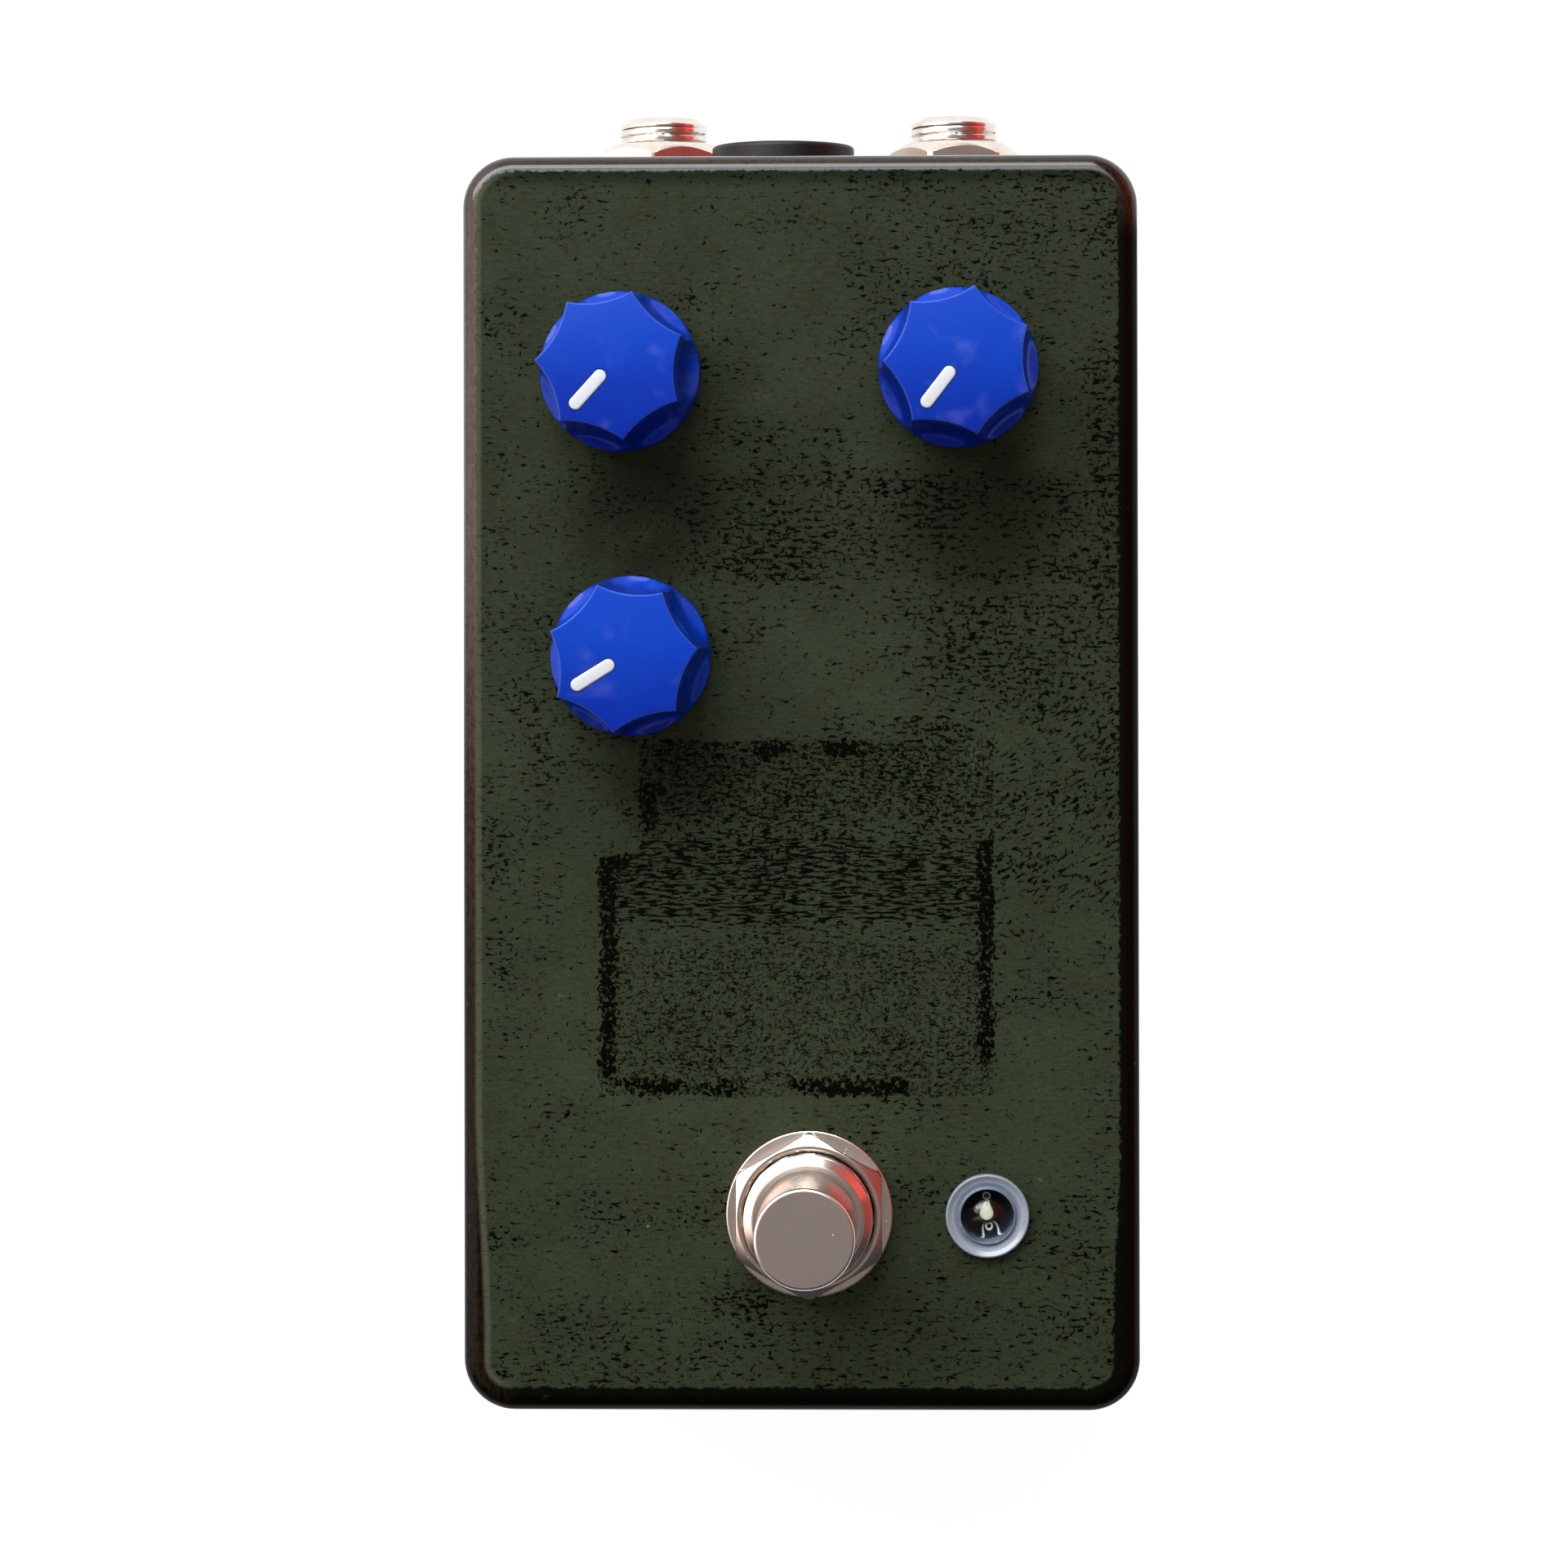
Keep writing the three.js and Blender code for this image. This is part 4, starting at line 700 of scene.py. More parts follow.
# ---- pieces
def outline(depth, inset):
    """The box's outline at a depth under the panel, drawn in by an inset."""
    grown = depth * SLOPE - inset
    radius, steps = CORNER + grown, 14
    points = []
    for corner in range(4):
        x = (1 if corner in (0, 3) else -1) * (HALF_WIDTH + grown - radius)
        y = (1 if corner < 2 else -1) * (HALF_LENGTH + grown - radius)
        for step in range(steps + 1):
            angle = (corner + step / steps) * math.pi / 2
            points.append((x + radius * math.cos(angle), BOX_Y + y + radius * math.sin(angle),
                           PANEL_Z - depth))
    return points


def edge_rings(depth, inset, radius, steps):
    """The rounded edge from a wall to the flat face over it."""
    rings = [outline(depth + radius + HOLD, inset)]
    for step in range(steps + 1):
        angle = step / steps * math.pi / 2
        rings.append(outline(depth + radius * (1 - math.sin(angle)), inset + radius * (1 - math.cos(angle))))
    return rings + [outline(depth, inset + radius + HOLD)]


def rod(radius, bottom, top, x=0.0, y=0.0, count=64):
    return moved(skin(stack(count, (radius, bottom), (radius, top))), shift(x, y, 0))


def build_enclosure(paint):
    outside = [outline(SHELL, 0.25), outline(SHELL - 0.25, 0.0)] + edge_rings(0, 0, EDGE, 10)
    box = make("box_shell", [skin(outside)])
    inside = [outline(SHELL + 1, WALL)] + edge_rings(PANEL, WALL, 1.2, 5)
    hollow = make("hollow", [skin(inside)])
    bosses, holes = [], []
    low = PANEL_Z - SHELL
    screw_x, screw_y = (half + SHELL * SLOPE - SCREW_INSET for half in (HALF_WIDTH, HALF_LENGTH))
    for x in (-screw_x, screw_x):
        for y in (BOX_Y - screw_y, BOX_Y + screw_y):
            bosses.append(rod(4.0, low + 1.5, PANEL_Z, x, y, 40))
            holes.append(rod(1.85, low - 1, low + 12.5, x, y, 32))
    boolean(hollow, [make("bosses", bosses)])
    bores = [(3.65, middle(f"pot_nut_{name}")) for name in KNOBS] + [(6.15, SWITCH), (3.2, LAMP)]
    holes += [rod(radius, PANEL_Z - 4, PANEL_Z + 1, spot.x, spot.y) for radius, spot in bores]
    for name, depth, radius in (("input", JACK_DEPTH, 4.7), ("output", JACK_DEPTH, 4.7),
                                ("power", POWER_DEPTH, 6.3)):
        holes.append(moved(rod(radius, -3.5, 1.0), on_wall(middle(f"{name}_jack_nut").x, depth)))
    boolean(box, [hollow])
    boolean(box, [make("holes", holes)], sharp=32)
    dress(box, paint, replaced="enclosure")


def build_cover(paint):
    low, top = top_of("rubber_foot_front_left"), PANEL_Z - SHELL
    edge = 0.9

    def ring_at(inset, height, depth=SHELL):
        return [(x, y, height) for x, y, _ in outline(depth, inset)]

    rings = [ring_at(edge + HOLD, low)]
    for step in range(8):
        angle = step / 7 * math.pi / 2
        rings.append(ring_at(edge * (1 - math.sin(angle)), low + edge * (1 - math.cos(angle))))
    plate = make("cover_plate", [skin(rings + [ring_at(0.0, top - 0.2), ring_at(0.2, top)])])
    tongue = skin([ring_at(WALL + inset, top + rise, SHELL - 1.5) for inset, rise in (
        (0.3, -1), (0.3, 1.4), (0.4, 1.5), (1.8, 1.5), (1.9, 1.4), (1.9, -1))], wrap=True)
    boolean(plate, [make("tongue", [tongue])], "UNION")
    cuts, pads = [], []
    for corner in CORNERS:
        spot = middle(f"cover_screw_{corner}")
        pads.append(rod(3.9, top - 1, top + 1.5, spot.x, spot.y, 40))
        cone = turned([(0, low - 1), (3.45, low - 1), (3.45, low + 0.6), (1.85, low + 2.2),
                       (1.85, top + 2), (0, top + 2)], count=40)
        cuts.append(moved(cone, shift(spot.x, spot.y, 0)))
    boolean(plate, [make("pads", pads)], "UNION")
    boolean(plate, [make("cuts", cuts)], sharp=32)
    dress(plate, paint, replaced="back_cover")


def build_screw(node, steel):
    spot, face = middle(node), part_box(node)[0].z / MM
    thread = [(0, 0), (2.9, 0.0), (3.2, 0.14, 0.12), (3.2, 0.42), (1.62, 1.9)]
    height, pitch = 1.9, 0.7
    while height < 10.4:
        thread += [(1.6, height + 0.1), (1.32, height + 0.35), (1.6, height + 0.6)]
        height += pitch
    thread += [(1.3, 11.1), (0.8, 11.5), (0, 11.5)]
    screw = make(f"{node}_fine", [turned(thread, count=48)])
    wing = skin([[(-x, -y, z), (x, -y, z), (x, y, z), (-x, y, z)]
                 for x, y, z in ((1.7, 0.42, -0.2), (0.8, 0.26, 1.2))])
    for turn in (0, math.pi / 2):
        boolean(screw, [make("wing", [moved(wing, Matrix.Rotation(turn, 4, "Z"))])])
    screw.data.transform(Matrix.Translation(Vector((spot.x, spot.y, face)) * MM))
    dress(screw, steel, replaced=node)


def build_foot(node, rubber):
    spot = middle(node)
    foot = turned([(0, -2.55), (2.0, -2.55, 0.3), (2.5, -2.8, 0.25), (3.95, -2.8, 0.6), (4.95, -0.25, 0.12),
                   (5.0, 0), (0, 0)], count=64)
    add_fine(node, [foot], shift(spot.x, spot.y, top_of(node)), rubber)


KNOB_TOP, KNOB_CROWN, KNOB_EDGE = 12.3, 0.25, 0.22
KNOB_BASE, KNOB_CORNER = 7.47, 7.2
FLUTES, FLUTE_CENTRE, FLUTE_RADIUS = 7, 14.76, 9.0
TURNS = {"upper_left": 138.0, "upper_right": 142.4, "lower_left": 121.8}


def knob_reach(angle, height):
    """The knob's radius at an angle from a ridge and a height over the panel."""
    taper, skirt = KNOB_BASE, 1.8
    if height > skirt:
        taper += (KNOB_CORNER - KNOB_BASE) * (height - skirt) / (KNOB_TOP - KNOB_EDGE - skirt)
    foot = (height - 0.8 - 2.1) / 3.0
    if foot <= 0:
        return taper
    cutter = FLUTE_RADIUS - 1.85 * (1 - math.sin(math.acos(1 - min(foot, 1.0))))
    period = 2 * math.pi / FLUTES
    off = period / 2 - abs((angle + period / 2) % period - period / 2)
    under = cutter ** 2 - (FLUTE_CENTRE * math.sin(off)) ** 2
    flute = FLUTE_CENTRE * math.cos(off) - math.sqrt(under) if under > 0 else math.inf
    soft = 0.25
    gap = max(soft - abs(taper - flute), 0) / soft
    return min(taper, flute) - soft * gap * gap / 4


def crown(reach):
    return KNOB_TOP + KNOB_CROWN * (1 - (reach / KNOB_CORNER) ** 2)


def knob_skin():
    count = FLUTES * 36
    angles = [2 * math.pi * step / count for step in range(count)]

    def level(height):
        return polar(angles, [(knob_reach(a - math.pi / 2, height), height) for a in angles])

    tops = [knob_reach(a - math.pi / 2, KNOB_TOP - KNOB_EDGE) for a in angles]
    rings = [[(0.0, 0.0, 10.6)]]
    rings += stack(count, (3.15, 10.6), (3.15, 5.1), (4.2, 5.1), (4.2, 2.9), (6.1, 2.9), (6.1, 0.8),
                   (KNOB_BASE - 0.25, 0.8), (KNOB_BASE - 0.08, 0.85), (KNOB_BASE - 0.01, 1.0))
    heights = [1.3, 1.78, 1.86, 2.4, 2.85]
    heights += [2.9 + 3.0 * (1 - math.cos(step / 10 * math.pi / 2)) for step in range(11)]
    rings += [level(height) for height in heights + [6.6, 8.0, 9.5, 11.0]]
    rings.append(polar(angles, [(t, crown(t) - KNOB_EDGE - 0.05) for t in tops]))
    for step in range(6):
        turn = step / 5 * math.pi / 2
        inset, drop = KNOB_EDGE * (1 - math.cos(turn)), KNOB_EDGE * (1 - math.sin(turn))
        rings.append(polar(angles, [(t - inset, crown(t - KNOB_EDGE) - drop) for t in tops]))
    for scale in (0.99, 0.9, 0.75, 0.55, 0.35, 0.15):
        inner = [(t - KNOB_EDGE) * scale for t in tops]
        rings.append(polar(angles, [(t, crown(t)) for t in inner]))
    rings.append([(0.0, 0.0, KNOB_TOP + KNOB_CROWN)])
    return skin(rings)


def bar_skin(radius, low, high, rounded=0.0):
    """The pointer's long round-ended shape, towards +Y."""
    levels = [(low, 0.0)]
    if rounded:
        levels += [(high - rounded * (1 - math.sin(a)), rounded * (1 - math.cos(a)))
                   for a in (0, 0.4, 0.8, 1.2, math.pi / 2)]
    else:
        levels.append((high, 0.0))
    rings = []
    for height, inset in levels:
        points = []
        for end, base in ((4.75, 0.0), (1.45, math.pi)):
            for step in range(13):
                angle = base + math.pi * step / 12
                reach = radius - inset
                points.append((reach * math.cos(angle), end + reach * math.sin(angle), height))
        rings.append(points)
    return skin(rings)


def grub_screw():
    """A set screw along Z, with a hexagonal socket."""
    face = 5.36
    vertices, faces = turned([(0, 3.3), (0.9, 3.3), (1.4, 3.8), (1.4, face, 0.1), (0.8, face),
                              (0.75, face - 0.1), (0.62, face - 1.0), (0, face - 1.1)], count=48)
    hexed = []
    for x, y, z in vertices:
        radius = math.hypot(x, y)
        if face - 1.05 < z < face - 0.05 and 0.5 < radius < 0.8:
            angle = (math.atan2(y, x) + math.pi / 6) % (math.pi / 3) - math.pi / 6
            scale = 0.65 * math.cos(math.pi / 6) / math.cos(angle) / radius
            x, y = x * scale, y * scale
        hexed.append((x, y, z))
    return hexed, faces


def build_knob(name, plastic, inlay, steel):
    spot, body = middle(f"pot_nut_{name}"), f"control_{name}"
    place = shift(spot.x, spot.y, PANEL_Z) @ Matrix.Rotation(math.radians(TURNS[name]), 4, "Z")
    across = place @ shift(0, 0, 7.3) @ Matrix.Rotation(math.pi / 2, 4, "X")
    knob = make(f"knob_{name}_fine", [moved(knob_skin(), place)], sharp=42)
    groove = bar_skin(0.66, KNOB_TOP - 0.66, KNOB_TOP + 1)
    hole = rod(1.55, 0.0, 9.0, count=32)
    boolean(knob, [make("groove", [moved(groove, place)])], sharp=42)
    boolean(knob, [make("screw_hole", [moved(hole, across)])], sharp=42)
    dress(knob, plastic, body, f"knob_{name}")
    bar = bar_skin(0.6, KNOB_TOP - 0.6, KNOB_TOP + 0.31, rounded=0.16)
    add_fine(f"pointer_{name}", [bar], place, inlay, 50, body)
    add_fine(f"set_screw_{name}", [grub_screw()], across, steel, 30, body)


def hex_nut(flats, bore, bottom, top, both, phase=0.0, bevel=30, start=0.3):
    """A nut with a corner towards +Y. Its bevels meet its flats in arcs, and its edges are soft."""
    half, hex_side = flats / 2, math.pi / 6
    count = 6 * 24
    slope = math.tan(math.radians(bevel))
    flat = half - start
    angles = [phase + math.pi / 2 + 2 * math.pi * step / count for step in range(count)]

    def reach(angle):
        off = (angle - phase - math.pi / 2) % (2 * hex_side) - hex_side
        return min(half / math.cos(off), half / math.cos(hex_side) - 0.14)

    def level(radius, height):
        return polar(angles, [(radius, height)] * count)

    def arcs(height, way):
        """The bevel's outer edge and the flats' edge next to it."""
        edge = [reach(a) for a in angles]
        inner = [(r - 0.05, height - way * max(r - 0.05 - flat, 0) * slope) for r in edge]
        outer = [(r, height - way * (max(r - flat, 0) * slope + 0.05)) for r in edge]
        return [polar(angles, inner), polar(angles, outer)]

    rings = [level(bore, bottom + 0.25), level(bore + 0.2, bottom + 0.05), level(bore + 0.25, bottom)]
    if both:
        rings += [level(flat - 0.04, bottom), level(flat + 0.02, bottom + 0.01)] + arcs(bottom, -1)
    else:
        rings += [polar(angles, [(reach(a) - 0.05, bottom) for a in angles]),
                  polar(angles, [(reach(a), bottom + 0.05) for a in angles])]
    rings += arcs(top, 1)[::-1]
    rings += [level(flat + 0.02, top - 0.01), level(flat - 0.04, top), level(bore + 0.25, top),
              level(bore + 0.2, top - 0.05), level(bore, top - 0.25)]
    return skin(rings, wrap=True)


def threaded(radius, bottom, top, pitch, depth, count):
    """Rings of a screw thread between two heights, tapering out at both ends."""
    rings = []
    per_turn = 14
    steps = max(int((top - bottom) / pitch * per_turn), 2)
    for step in range(steps + 1):
        height = bottom + (top - bottom) * step / steps
        fade = min(1.0, (height - bottom) / (pitch * 0.6), (top - height) / (pitch * 0.4))
        points = []
        for side in range(count):
            angle = 2 * math.pi * side / count
            phase = (height / pitch - side / count) % 1.0
            valley = max(0.0, min(1.0, (abs(phase - 0.5) * 2 - 0.06) / 0.4))
            reach = radius - depth * fade * (1 - valley)
            points.append((reach * math.cos(angle), reach * math.sin(angle), height))
        rings.append(points)
    return rings


def build_switch(nickel, satin):
    place, count = shift(SWITCH.x, SWITCH.y, PANEL_Z), 128
    rings = stack(count, (2.6, -7.1), (6.0, -7.1))
    rings += threaded(6.0, -6.0, 4.3, 0.75, 0.22, count)
    rings += stack(count, *softened([(5.9, 4.35), (5.9, 4.7, 0.08), (5.22, 5.2, 0.06), (5.1, 5.2, 0.04),
                                     (5.1, 4.2), (5.4, 4.2)], steps=4))
    rings += stack(count, (5.4, -6.1), (2.6, -6.1))
    add_fine("switch_sleeve", [skin(rings, wrap=True)], place, nickel, 34)
    plate = make("switch_frame_plate", [moved(block(-8.7, 8.7, -8.7, 8.7, -7.05, -6.15), place)])
    boolean(plate, [make("clear", [moved(rod(5.9, -8, 0), place)])])
    dress(plate, satin)
    washer = turned([(6.15, 0, 0.1), (7.8, 0, 0.1), (7.8, 0.8, 0.16), (6.15, 0.8, 0.1)], closed=True,
                    count=count)
    add_fine("switch_washer", [washer], place, satin)
    add_fine("switch_nut", [hex_nut(13.6, 6.15, 0.8, 3.0, False, start=0.12)], place, nickel, 24)
    high = top_of("switch_button") - PANEL_Z
    button = turned([(0, -8.55), (2.2, -8.55, 0.2), (2.2, 2.85), (5.25, 2.85, 0.1), (5.25, 4.05, 0.1),
                     (4.6, 4.05), (4.6, high, 0.3), (3.0, high), (0, high)], count=count, steps=8)
    add_fine("switch_button", [button], place, satin, body="button")


def build_lamp(frosted, clear, phosphor, wire, dark):
    place = shift(LAMP.x, LAMP.y, PANEL_Z)
    ring = turned([(2.55, -6.6), (3.1, -6.6, 0.1), (3.1, 0), (3.88, 0, 0.05), (3.92, 0.6, 0.2),
                   (3.82, 0.92, 0.12), (3.35, 0.62, 0.25), (2.85, 0.5, 0.2), (2.68, 0.5, 0.05),
                   (2.62, 0.78, 0.05), (2.5, 0.78, 0.04), (2.5, 0.3)], closed=True, count=128, steps=7)
    add_fine("led_bezel", [ring], place, frosted)
    dome = [(2.45 * math.cos(k * math.pi / 32), 2.6 * math.sin(k * math.pi / 32) - 1.6)
            for k in range(1, 16)]
    lens = turned([(0, -7.7), (2.9, -7.7), (2.9, -6.7), (2.45, -6.7), (2.45, -1.6)] + dome + [(0, 1.0)])
    obj = make("led_lens_fine", [moved(lens, place)])
    dress(obj, clear, replaced="led")

    # cast into the resin: the post and anvil, the bond wire and curls, the phosphor; and a dark floor and
    # wall, painted shade for the dark inside of the box. The post and anvil take the same painted-shade
    # black.
    inside = place @ shift(0, -0.2, 0)
    shade = turned([(0, -5.6), (2.4, -5.6), (2.4, -1.7), (2.3, -1.7), (2.3, -5.4), (0, -5.4)], count=64)
    dress(make("led_shade", [moved(shade, place)]), dark)
    cup = turned([(0.0, -3.1), (0.26, -3.1), (0.4, -2.72, 0.03), (0.45, -2.72, 0.02), (0.36, -3.6),
                  (0.22, -5.4), (0, -5.4)], count=48)
    anvil = skin([[(-0.5, -1.45, z), (0.6, -1.6, z), (0.75, -0.95, z), (-0.4, -0.8, z)]
                  for z in (-5.4, -4.1)])
    dress(make("led_anvil", [moved(cup, inside), moved(anvil, inside)]), dark)
    arch, thin = [], 0.03
    for step in range(13):
        angle = math.pi * step / 12
        y, z = 0.52 - 0.3 * math.cos(angle), -2.75 + 0.26 * math.sin(angle)
        arch.append([(thin * math.cos(t), y + thin * math.sin(t) * math.sin(angle),
                      z + thin * math.sin(t) * math.cos(angle)) for t in [k * math.pi / 4 for k in range(8)]])
    wires = [moved(skin(arch), inside)]
    for x, y, z, radius in ((0.0, 0.76, -2.75, 0.15), (0.1, -0.57, -2.85, 0.12), (0.14, -0.64, -3.1, 0.26)):
        low, high = radius - 0.05, radius + 0.05
        curl = turned([(low, -0.04, 0.03), (high, -0.04, 0.03), (high, 0.04, 0.03), (low, 0.04, 0.03)],
                      closed=True, count=40)
        wires.append(moved(curl, inside @ shift(x, y, z)))
    dress(make("led_wires", wires), wire)
    vertices, faces = turned([(0, -2.95), (0.26, -2.9, 0.1), (0.31, -2.66, 0.1), (0.2, -2.5, 0.1),
                              (0, -2.46)], count=40)
    drop = [(x, y * 1.1, z) if y < 0 else (x * (1 - y * 1.2), y * 1.6, z) for x, y, z in vertices]
    dress(make("led_phosphor", [moved((drop, faces), inside)]), phosphor)


def build_jack(name, turn, nickel):
    place, count = on_wall(middle(f"{name}_jack_nut").x, JACK_DEPTH), 112
    rings = stack(count, (3.25, -3.8), (6.3, -3.8), (6.4, -3.7), (6.4, -2.6), (4.4, -2.6), (4.4, 2.5))
    rings += threaded(4.4, 2.52, 4.78, 0.75, 0.15, count)
    rings += stack(count, *softened([(4.4, 4.8), (4.4, 5.05, 0.15), (3.6, 5.7, 0.14), (3.42, 5.7, 0.05),
                                     (3.25, 5.5), (3.25, 5.0)], steps=4))
    tab = block(-4, 4, 4.0, 8.4, -3.8, -2.6)
    arm = block(-4, 4, 7.3, 8.4, -19.6, -2.6)
    add_fine(f"{name}_jack_sleeve", [skin(rings, wrap=True), tab, arm], place, nickel, 34)
    nut = hex_nut(12.0, 4.55, 0.3, 3.1, True, math.radians(turn), 40, 0.6)
    add_fine(f"{name}_jack_nut", [nut], place, nickel, 24)


def build_power(plastic, nickel):
    place = on_wall(middle("power_jack_nut").x, POWER_DEPTH)
    body = turned([(1.2, -13.0), (6.0, -13.0, 0.3), (6.0, 0.3), (6.9, 0.3, 0.12), (6.9, 1.9, 0.4),
                   (3.5, 1.9, 0.1), (3.15, 1.55), (3.15, -7.6), (1.2, -7.6)], closed=True, count=128)
    add_fine("power_jack_body", [body], place, plastic)
    pin = turned([(0, -13.15), (1.05, -13.15), (1.05, 0.9, 0.6), (0, 0.9)], count=40)
    lug = block(-1.2, 1.2, -0.25, 0.25, -16.55, -13.0)
    add_fine("power_jack_pin", [pin, lug], place, nickel)


def build_spring(steel):
    """The return spring, a copy of the CAD node's mesh."""
    low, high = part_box("switch_spring")
    joints = frame["record"]["behaviour"]["joints"]
    travel = next(joint for joint in joints if joint["name"] == "button_press")["range_m"][1]
    obj = add_object("switch_spring_fine", nodes["switch_spring"].data.copy())
    dress(obj, steel, replaced="switch_spring")
    1 - travel / (high[2] - low[2])
    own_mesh(obj)


# ---- make everything
paint = paint_material()
nickel = nickel_material()
satin = nickel_material("nickel_satin", 0.98, 0.2)
steel = steel_material()
rubber = rubber_material()
black_plastic = moulded_material("black_satin_plastic", srgb(16, 14, 15), srgb(28, 26, 28))
blue = knob_material()
white = plain_material("white_inlay", (3.0, 3), (226, 227, 232), (246, 246, 248), 0.006, (0.34, 0.46))

build_enclosure(paint)
build_cover(cover_material())
for corner in CORNERS:
    build_screw(f"cover_screw_{corner}", steel)
    build_foot(f"rubber_foot_{corner}", rubber)
for name in KNOBS:
    build_knob(name, blue, white, steel)
build_switch(nickel, satin)
# painted light: the phosphor's glow stands in for light falling on it inside the resin
phosphor = plain_material("lamp_phosphor_painted_glow", (5.0, 4, 0.7), (222, 229, 190), (244, 248, 226), 0.02, 0.6,
                          glow=srgb(226, 232, 196), glow_strength=0.4)
# painted shade: near-black for the shade piece and the post and anvil inside the lamp
painted_shade_black = moulded_material("lamp_painted_shade", srgb(10, 9, 12), srgb(18, 16, 20), 0.5)
build_lamp(frosted_material(), clear_material(), phosphor, steel, painted_shade_black)
build_jack("input", -20.9, nickel)
build_jack("output", -5.9, nickel)
build_power(black_plastic, nickel)
build_spring(steel)

# the CAD nodes that stay get a better material
wafer = phenolic_material("paper_laminate", True)
block_laminate = phenolic_material("paper_laminate_block", False)
white_wire = wire_material("white_insulation", (206, 206, 200), (228, 228, 222))
kept = {
    "switch_case": switch_case_material(),
    "switch_lock_nut": satin,
    "switch_board": board_material("switch_board_laminate", PANEL_Z - 21.0),
    "circuit_board": board_material("main_board_laminate", PANEL_Z - 12.5),
    "input_jack_contact": nickel, "output_jack_contact": nickel,
    "input_jack_insulator": block_laminate, "output_jack_insulator": block_laminate,
    "power_jack_nut": black_plastic,
    "input_lead": white_wire, "output_lead": white_wire,
    "power_lead": wire_material("red_insulation", (150, 24, 24), (178, 34, 30)),
    "switch_ribbon": wire_material("grey_ribbon", (136, 140, 145), (156, 160, 165), 1.27),
}
for name in KNOBS:
    for part, material in (("shaft", satin), ("sleeve", satin), ("nut", satin), ("wafer", wafer),
                           ("cover", steel)):
        kept[f"pot_{part}_{name}"] = material
for node, material in kept.items():
    slots = nodes[node].data.materials
    for index in range(len(slots)):
        slots[index] = material
    if not slots:
        slots.append(material)


# ---- stage, light and camera
def build_floor():
    """White to the eye and in gloss. It keeps the object's shadow."""
    size = 3.0
    mesh = bpy.data.meshes.new("floor")
    corners = [(-size, -size, 0), (size, -size, 0), (size, size, 0), (-size, size, 0)]
    mesh.from_pydata(corners, [], [(0, 1, 2, 3)])
    material = bpy.data.materials.new("white_floor")
    g = Tree(material)
    g.tree.nodes.clear()
    diffuse, glow, both = (g.node(kind) for kind in ("BsdfDiffuse", "Emission", "AddShader"))
    diffuse.inputs["Color"].default_value = (0.37, 0.37, 0.37, 1)
    g.plug(glow.inputs["Strength"], g.rays("Camera", "Glossy", "Transmission") * 0.9)
    g.link(diffuse.outputs[0], both.inputs[0])
    g.link(glow.outputs[0], both.inputs[1])
    g.link(both.outputs[0], g.node("OutputMaterial").inputs["Surface"])
    mesh.materials.append(material)
    add_object("floor", mesh)


def build_world():
    """White all round for the eye; for gloss, white low down and a dim warm room overhead."""
    world = bpy.data.worlds.new("studio")
    bpy.context.scene.world = world
    g = Tree(world)
    g.tree.nodes.clear()
    x, y, z = g.split(g.node("TexCoord").outputs["Generated"])
    white, room = (1.0, 1.0, 1.0, 1), (0.278, 0.24, 0.23, 1)
    right, left = g.step(x, 0.3, 0.62), g.step(x, -0.22, -0.6)
    back, front = g.step(y, 0.1, 0.55) * g.step(x, 0.4, 0.0), g.step(y, -0.1, -0.55)
    for side, colour in ((right, (0.42, 0.075, 0.06, 1)), (back, (1.3, 1.15, 0.98, 1)),
                         (left, (2.6, 2.05, 1.85, 1)), (front, (0.06, 0.055, 0.06, 1))):
        room = g.tint(side, room, colour)
    gloss = g.tint(g.step(z, 0.03, 0.0), room, white)
    ambient = g.tint(g.rays("Glossy", "Transmission"), (0.32, 0.32, 0.32, 1), gloss)
    background = g.node("Background")
    g.plug(background.inputs["Color"], g.tint(g.rays("Camera"), ambient, white))
    g.link(background.outputs[0], g.node("OutputWorld").inputs["Surface"])


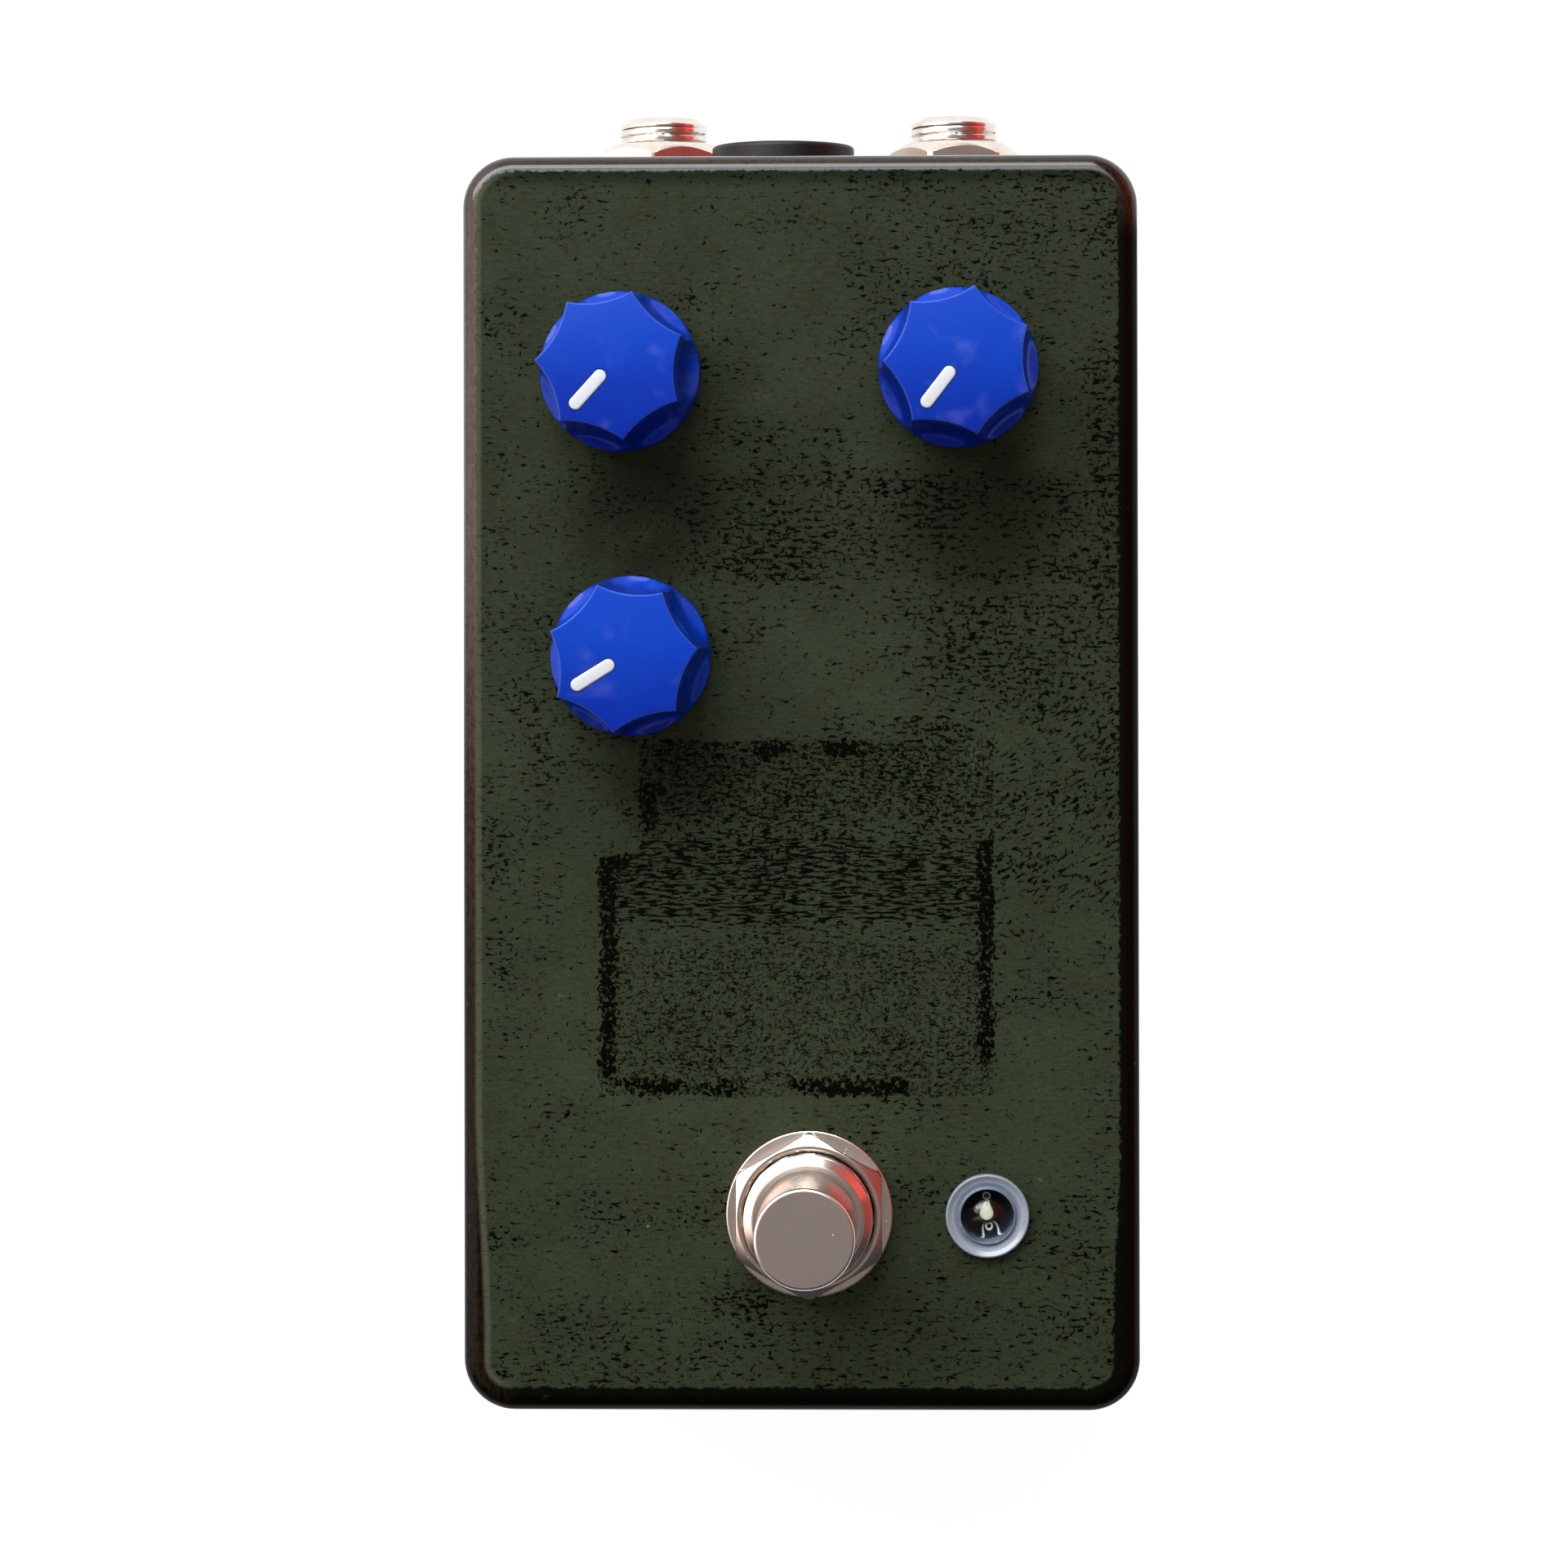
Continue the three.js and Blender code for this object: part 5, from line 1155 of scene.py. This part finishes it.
def area_light(name, azimuth, elevation, distance, size, radiance, colour, diffuse=True):
    """A soft box seen from the panel at an azimuth from +X towards +Y and an elevation. In metres."""
    data = bpy.data.lights.new(name, "AREA")
    data.shape = "RECTANGLE"
    data.size, data.size_y = size
    data.energy = radiance * math.pi * size[0] * size[1]
    data.color = colour
    if not diffuse:
        data.diffuse_factor = 0.0
    light = add_object(name, data)
    a, e = math.radians(azimuth), math.radians(elevation)
    back = Vector((math.cos(e) * math.cos(a), math.cos(e) * math.sin(a), math.sin(e)))
    right = Vector((0, 0, 1)).cross(back).normalized()
    turn = Matrix((right, back.cross(right), back)).transposed().to_4x4()
    place = Vector((0, 0, PANEL_Z * MM)) + back * distance
    light.matrix_world = Matrix.Translation(place) @ turn
    light.visible_camera = False
    light.visible_diffuse = diffuse


def build_camera():
    data = bpy.data.cameras.new("camera")
    sensor = 36.0
    data.sensor_width, data.lens = sensor, 2.312 * sensor
    data.shift_x, data.shift_y = -0.05, -0.1155
    data.clip_start, data.clip_end = 0.01, 20
    camera = add_object("camera", data)
    place = Vector((11.953, BOX_Y + 15.06, PANEL_Z + 340.0)) * MM
    target = Vector((5.88, BOX_Y + 16.864, PANEL_Z)) * MM
    forward = (target - place).normalized()
    right = forward.cross(Vector((0, 1, 0))).normalized()
    up = right.cross(forward)
    roll = -0.002
    right, up = (math.cos(roll) * right + math.sin(roll) * up, math.cos(roll) * up - math.sin(roll) * right)
    turn = Matrix((right, up, -forward)).transposed().to_4x4()
    camera.matrix_world = Matrix.Translation(place) @ turn
    bpy.context.scene.camera = camera


build_floor()
build_world()
area_light("window", 116, 40, 0.8, (1.05, 0.3), 7.6, (0.90, 0.95, 1.0))
area_light("red_card", 34, 12, 0.6, (0.5, 0.3), 0.9, (1.0, 0.1, 0.09), diffuse=False)
area_light("window_glare", 106, 57, 0.8, (0.75, 0.3), 3.5, (0.82, 0.92, 1.0), diffuse=False)
area_light("sky_glare", 106, 68, 0.8, (0.7, 0.2), 2.2, (0.8, 0.9, 1.0), diffuse=False)
build_camera()
bpy.context.scene.view_settings.view_transform = "Standard"
